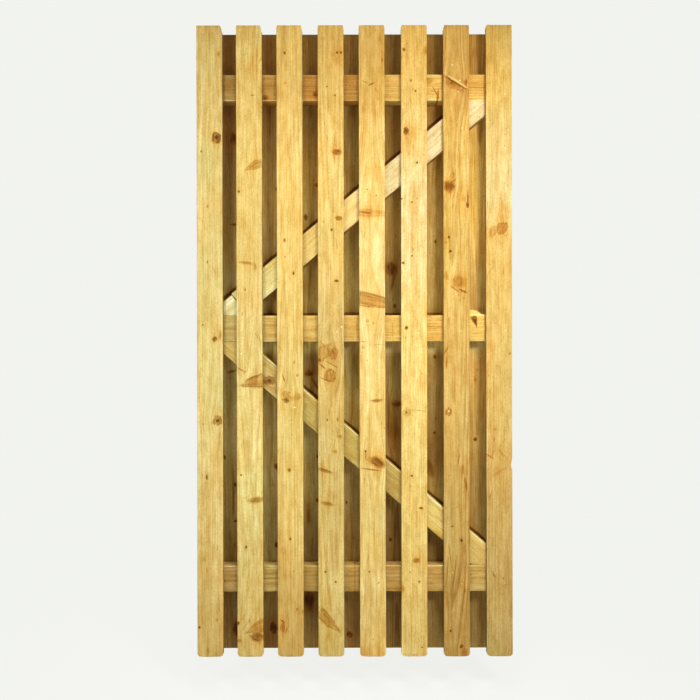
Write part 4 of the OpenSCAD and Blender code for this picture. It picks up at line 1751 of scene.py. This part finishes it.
@dataclass
class Braces:
    """The two diagonal braces and the block under the upper one.

    Attributes:
        mill: Shapes the boards.
        width: Width of a brace's section.
        arris: Radius of the long edges.
        block_gap: Width of the saw gap between the block and the upper brace.
        upper: What sets the upper brace apart.
        lower: The same for the lower brace.
        block: The same for the block.
    """

    mill: Sawmill
    width: float = 72.0
    arris: float = 2.5
    block_gap: float = 2.0
    upper: Character = UPPER_BRACE
    lower: Character = LOWER_BRACE
    block: Character = BRACE_BLOCK

    @staticmethod
    def slope(node: str) -> float:
        """Measures how steeply a brace climbs from the largest slanted face of its node.

        Args:
            node: The brace's node.

        Returns:
            Its slope in radians, positive where it climbs to the right.
        """
        mesh = bpy.data.objects[node].data
        flat = [f for f in mesh.polygons if abs(f.normal.y) < 0.01]
        slanted = [f for f in flat if abs(f.normal.x) > 0.2 and f.normal.z > 0.2]
        widest = max(slanted, key=lambda f: f.area)
        return math.atan2(-widest.normal.x, widest.normal.z)

    def build(self) -> list[Board]:
        """Makes the braces and the block.

        Returns:
            Their places and sizes.
        """
        boards = [self.build_lower(), self.build_upper()]
        self.build_block(boards[1])
        return boards

    def board_along(self, node: str, start: Vector, slope: float, length: float) -> Board:
        """Returns a board that runs from a point up or down a slope.

        Args:
            node: The brace's node.
            start: The middle of its lower or left end.
            slope: Its slope in radians.
            length: Its length in metres.

        Returns:
            The board.
        """
        low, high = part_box(node)
        run = Vector((math.cos(slope), 0.0, math.sin(slope)))
        middle, turn = start + run * length / 2, math.pi / 2 - slope
        return Board(
            node, "brace_timber", middle, turn, self.width * MM, high.y - low.y, length, self.arris * MM
        )

    def build_lower(self) -> Board:
        """Makes the brace that falls from the middle rail to the bottom rail.

        Returns:
            Its place and size.
        """
        node = "lower_brace"
        low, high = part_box(node)
        slope = self.slope(node)
        run = Vector((math.cos(slope), 0.0, math.sin(slope)))
        length = (high.x - low.x) / math.cos(slope)
        board = self.board_along(node, (low + high) / 2 - run * length / 2, slope, length)
        cuts = (Cut(high, UP), Cut(low, -UP))
        self.mill.make(board, self.lower, cuts=cuts)
        return board

    def build_upper(self) -> Board:
        """Makes the brace that climbs from its square foot to the top rail.

        Returns:
            Its place and size.
        """
        node = "upper_brace"
        low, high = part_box(node)
        slope = self.slope(node)
        run = Vector((math.cos(slope), 0.0, math.sin(slope)))
        up = Vector((-math.sin(slope), 0.0, math.cos(slope)))
        tip = Vector((high.x, (low.y + high.y) / 2, high.z))
        upper_edge = tip + up * self.width * MM
        foot = (upper_edge.x - low.x) / math.cos(slope)
        axis_end = tip + up * self.width * MM / 2
        board = self.board_along(node, axis_end - run * foot, slope, foot)
        self.mill.make(board, self.upper, cuts=(Cut(high, UP),))
        return board

    def build_block(self, brace: Board) -> None:
        """Makes the block that packs the corner under the upper brace's foot.

        Args:
            brace: The upper brace.
        """
        node = "brace_block"
        low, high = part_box(node)
        slope = math.pi / 2 - brace.turn
        run = Vector((math.cos(slope), 0.0, math.sin(slope)))
        up = Vector((-math.sin(slope), 0.0, math.cos(slope)))
        tip = Vector((low.x, (low.y + high.y) / 2, low.z))
        foot = brace.centre - run * (brace.length / 2 + self.block_gap * MM)
        length = (foot - tip).dot(run) + self.width * MM
        start = tip - up * self.width * MM / 2 - run * self.width * MM
        board = self.board_along(node, start, slope, length + self.width * MM)
        cuts = (Cut(foot, run), Cut(low, -UP))
        self.mill.make(board, self.block, cuts=cuts)


@dataclass
class Nails:
    """Round galvanised nail heads, two to a board at each rail and one at each brace.

    Attributes:
        radius: Radius of a head.
        spread: Sideways and upward place of the two nails, from where board and rail cross.
        thickness: Thickness of a head.
        rim: Radius of its outer edge.
        segments: Number of sides that stand for its circle.
        jitter: How far the rail nails stray, sideways and upward.
        brace_jitter: How far the brace nails stray.
        end_clearance: Least distance of a nail from a brace's end.
        rubbed: Front nails that are rubbed bright: the number of the paling, and the place
            across from its centre line and above its foot.
    """

    radius: float = 2.5
    spread: tuple[tuple[float, float], ...] = ((-12.0, 20.0), (14.0, -9.0))
    thickness: float = 2.0
    rim: float = 0.35
    segments: int = 14
    jitter: tuple[float, float] = (3.5, 4.0)
    brace_jitter: float = 9.0
    end_clearance: float = 50.0
    rubbed: tuple[tuple[int, float, float], ...] = (
        (2, -23.0, 864.0), (3, 13.0, 711.0), (4, 17.0, 926.0), (4, 30.0, 940.0), (7, 9.0, 928.0),
        (7, 17.0, 1506.0), (7, -11.0, 1686.0), (7, 11.0, 1642.0), (7, 6.0, 1610.0), (8, 17.0, 928.0),
        (8, 17.0, 1602.0), (6, 11.0, 922.0), (7, -23.0, 699.0),
    )

    @staticmethod
    def material(name: str, deep: Colour, pale: Colour, metallic: float) -> Material:
        """Builds the zinc finish of some of the heads.

        Args:
            name: The material's name.
            deep: The zinc where it is dull.
            pale: The zinc where it is bright.
            metallic: How metallic it looks.

        Returns:
            The material.
        """
        material, g = bare_material(name)
        point = g.add("TexCoord").outputs["Object"]
        spangle = g.noise(g.stretch(point, 900.0, 900.0, 900.0, 2.0), 2.0)
        stain = g.noise(g.stretch(point, 260.0, 260.0, 260.0, 5.0), 2.0)
        zinc = g.mix(g.ease(spangle, 0.35, 0.65), deep, pale)
        zinc = g.mix(g.ease(stain, 0.55, 0.75, 0.0, 0.5), zinc, (0.42, 0.30, 0.13))
        shader = g.add("BsdfPrincipled")
        g.put(shader.inputs["Base Color"], zinc)
        g.put(shader.inputs["Metallic"], metallic)
        g.put(shader.inputs["Roughness"], g.ease(spangle, 0.3, 0.7, 0.5, 0.7))
        g.put(shader.inputs["Specular IOR Level"], 0.2)
        g.put(g.add("OutputMaterial").inputs["Surface"], shader.outputs["BSDF"])
        return material

    def head(self, shape: BMesh, place: Vector, skin: Skin) -> None:
        """Adds one nail head.

        Args:
            shape: The mesh that collects the heads.
            place: The centre of the head's outer face.
            skin: The side that it is driven from.
        """
        depth = self.thickness * MM
        radius = self.radius * MM
        made = bmesh.ops.create_cone(
            shape, cap_ends=True, segments=self.segments, radius1=radius, radius2=radius, depth=depth
        )
        verts = made["verts"]
        outer = [e for v in verts if v.co.z > 0 for e in v.link_edges if all(w.co.z > 0 for w in e.verts)]
        rounded = round_off(shape, list(set(outer)), self.rim * MM, 2)
        verts = list({v for v in [*verts, *rounded] if v.is_valid})
        turn = Matrix.Rotation(-skin.value * math.pi / 2, 4, "X")
        middle = place - Vector((0.0, skin.value, 0.0)) * depth / 2
        bmesh.ops.transform(shape, matrix=Matrix.Translation(middle) @ turn, verts=verts)

    def crossings(self, paling: Board, rails: Sequence[Board], braces: Sequence[Board]) -> list[Vector]:
        """Finds where a paling's nails go.

        Args:
            paling: The paling.
            rails: The rails behind it.
            braces: The braces behind it.

        Returns:
            Sideways and upward place of each nail, with no depth.
        """
        places = []
        for rail in rails:
            for index, (aside, above) in enumerate(self.spread):
                jitter = noise.noise_vector(Vector((paling.centre.x * 9, rail.centre.z * 7, index * 3.1)))
                x = paling.centre.x + (aside + self.jitter[0] * jitter.x) * MM
                z = rail.centre.z + (above + self.jitter[1] * jitter.z) * MM
                places.append(Vector((x, 0.0, z)))
        for brace in braces:
            run = brace.place.to_3x3() @ UP
            distance = (paling.centre.x - brace.centre.x) / run.x
            if abs(distance) < brace.length / 2 - self.end_clearance * MM:
                middle = brace.centre + run * distance
                jitter = noise.noise_vector(Vector((paling.centre.x * 5, middle.z * 3, 1.7)))
                stray = self.brace_jitter * MM
                places.append(Vector((middle.x + stray * jitter.x, 0.0, middle.z + stray * jitter.z)))
        return places

    def build(
        self, skin: Skin, palings: Sequence[Board], rails: Sequence[Board], braces: Sequence[Board],
        material: Material,
    ) -> None:
        """Drives the nails of one skin.

        Args:
            skin: The side that the nails are driven from.
            palings: The boards that they hold.
            rails: The rails.
            braces: The braces.
            material: The heads' finish.
        """
        shape = bmesh.new()
        for paling in palings:
            face = paling.centre.y + skin.value * paling.through / 2
            for spot in self.crossings(paling, rails, braces):
                self.head(shape, Vector((spot.x, face, spot.z)), skin)
        bmesh.ops.recalc_face_normals(shape, faces=shape.faces)
        finish_piece(shape, f"{skin.name.lower()}_nails", None, material)

    def build_rubbed(self, palings: Sequence[Board], material: Material) -> None:
        """Drives the few bright nails of the front skin.

        Args:
            palings: The front palings.
            material: The heads' finish.
        """
        shape = bmesh.new()
        for number, across, along in self.rubbed:
            paling = palings[number - 1]
            x = paling.centre.x + across * MM
            z = paling.centre.z - paling.length / 2 + along * MM
            self.head(shape, Vector((x, paling.centre.y - paling.through / 2, z)), Skin.FRONT)
        bmesh.ops.recalc_face_normals(shape, faces=shape.faces)
        finish_piece(shape, "rubbed_nails", None, material)


# ---- Studio ----


@dataclass(frozen=True)
class Lamp:
    """A square soft light; its places are measured in metres from the gate's lowest corner.

    Attributes:
        name: Its name.
        place: Where it hangs.
        target: What it faces.
        size: Its side, in metres.
        power: Its power, in watts.
        spread: How widely it throws its light, in degrees.
    """

    name: str
    place: tuple[float, float, float]
    target: tuple[float, float, float]
    size: float
    power: float
    spread: float = 180.0

    def hang(self, low: Vector) -> None:
        """Adds the light to the scene.

        Args:
            low: The gate's lowest corner.
        """
        data = bpy.data.lights.new(self.name, "AREA")
        data.size = self.size
        data.energy = self.power
        data.spread = math.radians(self.spread)
        light = bpy.data.objects.new(self.name, data)
        place, target = low + Vector(self.place), low + Vector(self.target)
        light.location = place
        light.rotation_euler = (target - place).to_track_quat("-Z", "Y").to_euler()
        bpy.context.scene.collection.objects.link(light)


@dataclass
class Studio:
    """The floor, the light and the camera, in metres.

    Attributes:
        backdrop: Colour of the floor and the background as the camera sees them.
        distance: From the front faces to the camera.
        height: Of the camera above the gate's feet.
        aside: Of the camera from the hinge edge.
        frame_width: Width of the view at the front faces.
        roll: Of the camera, in degrees.
        clearance: Between the floor and the gate's feet.
        middle: Of the gate, from the hinge edge.
        fill: Strength of the soft light from all round.
        floor_glow: Colour of the floor near the gate, as the camera sees it.
        floor_reach: Where the floor's own colour begins to turn into the background's, and
            where it has done so, from the middle.
        shadow: Share of its real light that the floor shows near the gate.
        lamps: The soft lights.
    """

    backdrop: Colour = (0.887, 0.896, 0.855)
    distance: float = 2.070
    height: float = 0.874
    aside: float = 0.437
    frame_width: float = 1.9937
    roll: float = -0.117
    clearance: float = 0.11
    middle: float = 0.45
    fill: float = 0.11
    floor_glow: Colour = (0.945, 0.955, 0.91)
    floor_reach: tuple[float, float] = (0.5, 1.7)
    shadow: float = 0.14
    lamps: tuple[Lamp, ...] = (
        Lamp("key", (1.18, -1.36, 1.59), (1.15, 0.0, 0.59), 0.42, 15.0, 142.0),
        Lamp("side", (-0.46, -1.18, 1.25), (-0.55, 0.0, 1.08), 0.50, 8.2, 119.0),
        Lamp("low", (0.45, -1.50, 0.05), (0.45, 0.0, 1.30), 0.80, 5.8, 150.0),
        Lamp("high", (0.45, -1.10, 2.60), (0.45, 0.0, 0.50), 0.80, 3.8, 150.0),
        Lamp("down", (0.45, -0.75, 2.90), (0.45, 0.0, 0.25), 0.50, 1.0, 36.0),
        Lamp("rear", (-0.95, 2.50, 2.60), (0.45, 0.0, 0.90), 1.6, 60.0),
    )

    def build(self) -> None:
        """Builds the whole studio around the gate."""
        low = Vector(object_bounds()[0])
        self.build_floor(low)
        self.build_world()
        for lamp in self.lamps:
            lamp.hang(low)
        self.build_camera(low)

    def build_floor(self, low: Vector) -> None:
        """Builds a wide pale floor that keeps the gate's shadow.

        Args:
            low: The gate's lowest corner.
        """
        shape = bmesh.new()
        bmesh.ops.create_grid(shape, x_segments=2, y_segments=2, size=9.0)
        bmesh.ops.translate(shape, vec=(self.middle, 0.0, low.z - self.clearance), verts=shape.verts)
        mesh = bpy.data.meshes.new("studio_floor")
        shape.to_mesh(mesh)
        shape.free()
        floor = bpy.data.objects.new("studio_floor", mesh)
        bpy.context.scene.collection.objects.link(floor)
        material, g = bare_material("studio_floor")
        matt = g.add("BsdfDiffuse")
        g.put(matt.inputs["Color"], rgba((0.80, 0.80, 0.78)))
        glow = g.add("Emission")
        x, y, _ = g.split(g.add("TexCoord").outputs["Object"])
        square = g.plus(g.math("POWER", g.minus(x, self.middle), 2.0), g.math("POWER", y, 2.0))
        away = g.ease(g.math("SQRT", square), *self.floor_reach)
        g.put(glow.inputs["Color"], g.mix(away, self.floor_glow, self.backdrop))
        blend = g.add("MixShader")
        seen = g.add("LightPath").outputs["Is Camera Ray"]
        share = g.line(away, self.shadow, 1.0 - self.shadow)
        g.put(blend.inputs[0], g.times(seen, share))
        g.put(blend.inputs[1], matt.outputs[0])
        g.put(blend.inputs[2], glow.outputs[0])
        g.put(g.add("OutputMaterial").inputs["Surface"], blend.outputs[0])
        mesh.materials.append(material)
        floor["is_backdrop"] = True

    def build_world(self) -> None:
        """Builds the soft light from all round and the pale background."""
        world = bpy.data.worlds.new("studio")
        bpy.context.scene.world = world
        world.use_nodes = True
        world.node_tree.nodes.clear()
        g = Graph(world.node_tree)
        seen = g.add("LightPath").outputs["Is Camera Ray"]
        soft = g.add("Background")
        g.put(soft.inputs["Color"], rgba((1.0, 1.0, 0.98)))
        g.put(soft.inputs["Strength"], self.fill)
        pale = g.add("Background")
        g.put(pale.inputs["Color"], rgba(self.backdrop))
        blend = g.add("MixShader")
        g.put(blend.inputs[0], seen)
        g.put(blend.inputs[1], soft.outputs[0])
        g.put(blend.inputs[2], pale.outputs[0])
        g.put(g.add("OutputWorld").inputs["Surface"], blend.outputs[0])

    def build_camera(self, low: Vector) -> None:
        """Sets up the camera square to the gate's face.

        Args:
            low: The gate's lowest corner.
        """
        data = bpy.data.cameras.new("camera")
        data.sensor_width = 36.0
        data.lens = data.sensor_width * self.distance / self.frame_width
        camera = bpy.data.objects.new("camera", data)
        camera.location = low + Vector((self.aside, -self.distance, self.height))
        look = Matrix.Rotation(math.radians(90), 3, "X") @ Matrix.Rotation(math.radians(self.roll), 3, "Z")
        camera.rotation_euler = look.to_euler()
        bpy.context.scene.collection.objects.link(camera)
        bpy.context.scene.camera = camera


def main() -> None:
    """Builds the gate and its studio."""
    logging.basicConfig(level=logging.INFO, format="%(message)s")
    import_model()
    bpy.context.scene.view_settings.view_transform = "Standard"

    mill = Sawmill(Timber())
    front = FrontPalings(mill).build()
    back = BackPalings(mill).build()
    rails = Rails(mill).build()
    braces = Braces(mill).build()
    nails = Nails()
    dull = nails.material("dull_nail", (0.60, 0.40, 0.12), (0.74, 0.52, 0.18), 0.0)
    bright = nails.material("rubbed_nail", (0.78, 0.62, 0.28), (0.92, 0.80, 0.44), 0.1)
    nails.build(Skin.FRONT, front, rails, braces, dull)
    nails.build(Skin.BACK, back, rails, braces, dull)
    nails.build_rubbed(front, bright)
    Studio().build()


if __name__ == "__main__":
    main()
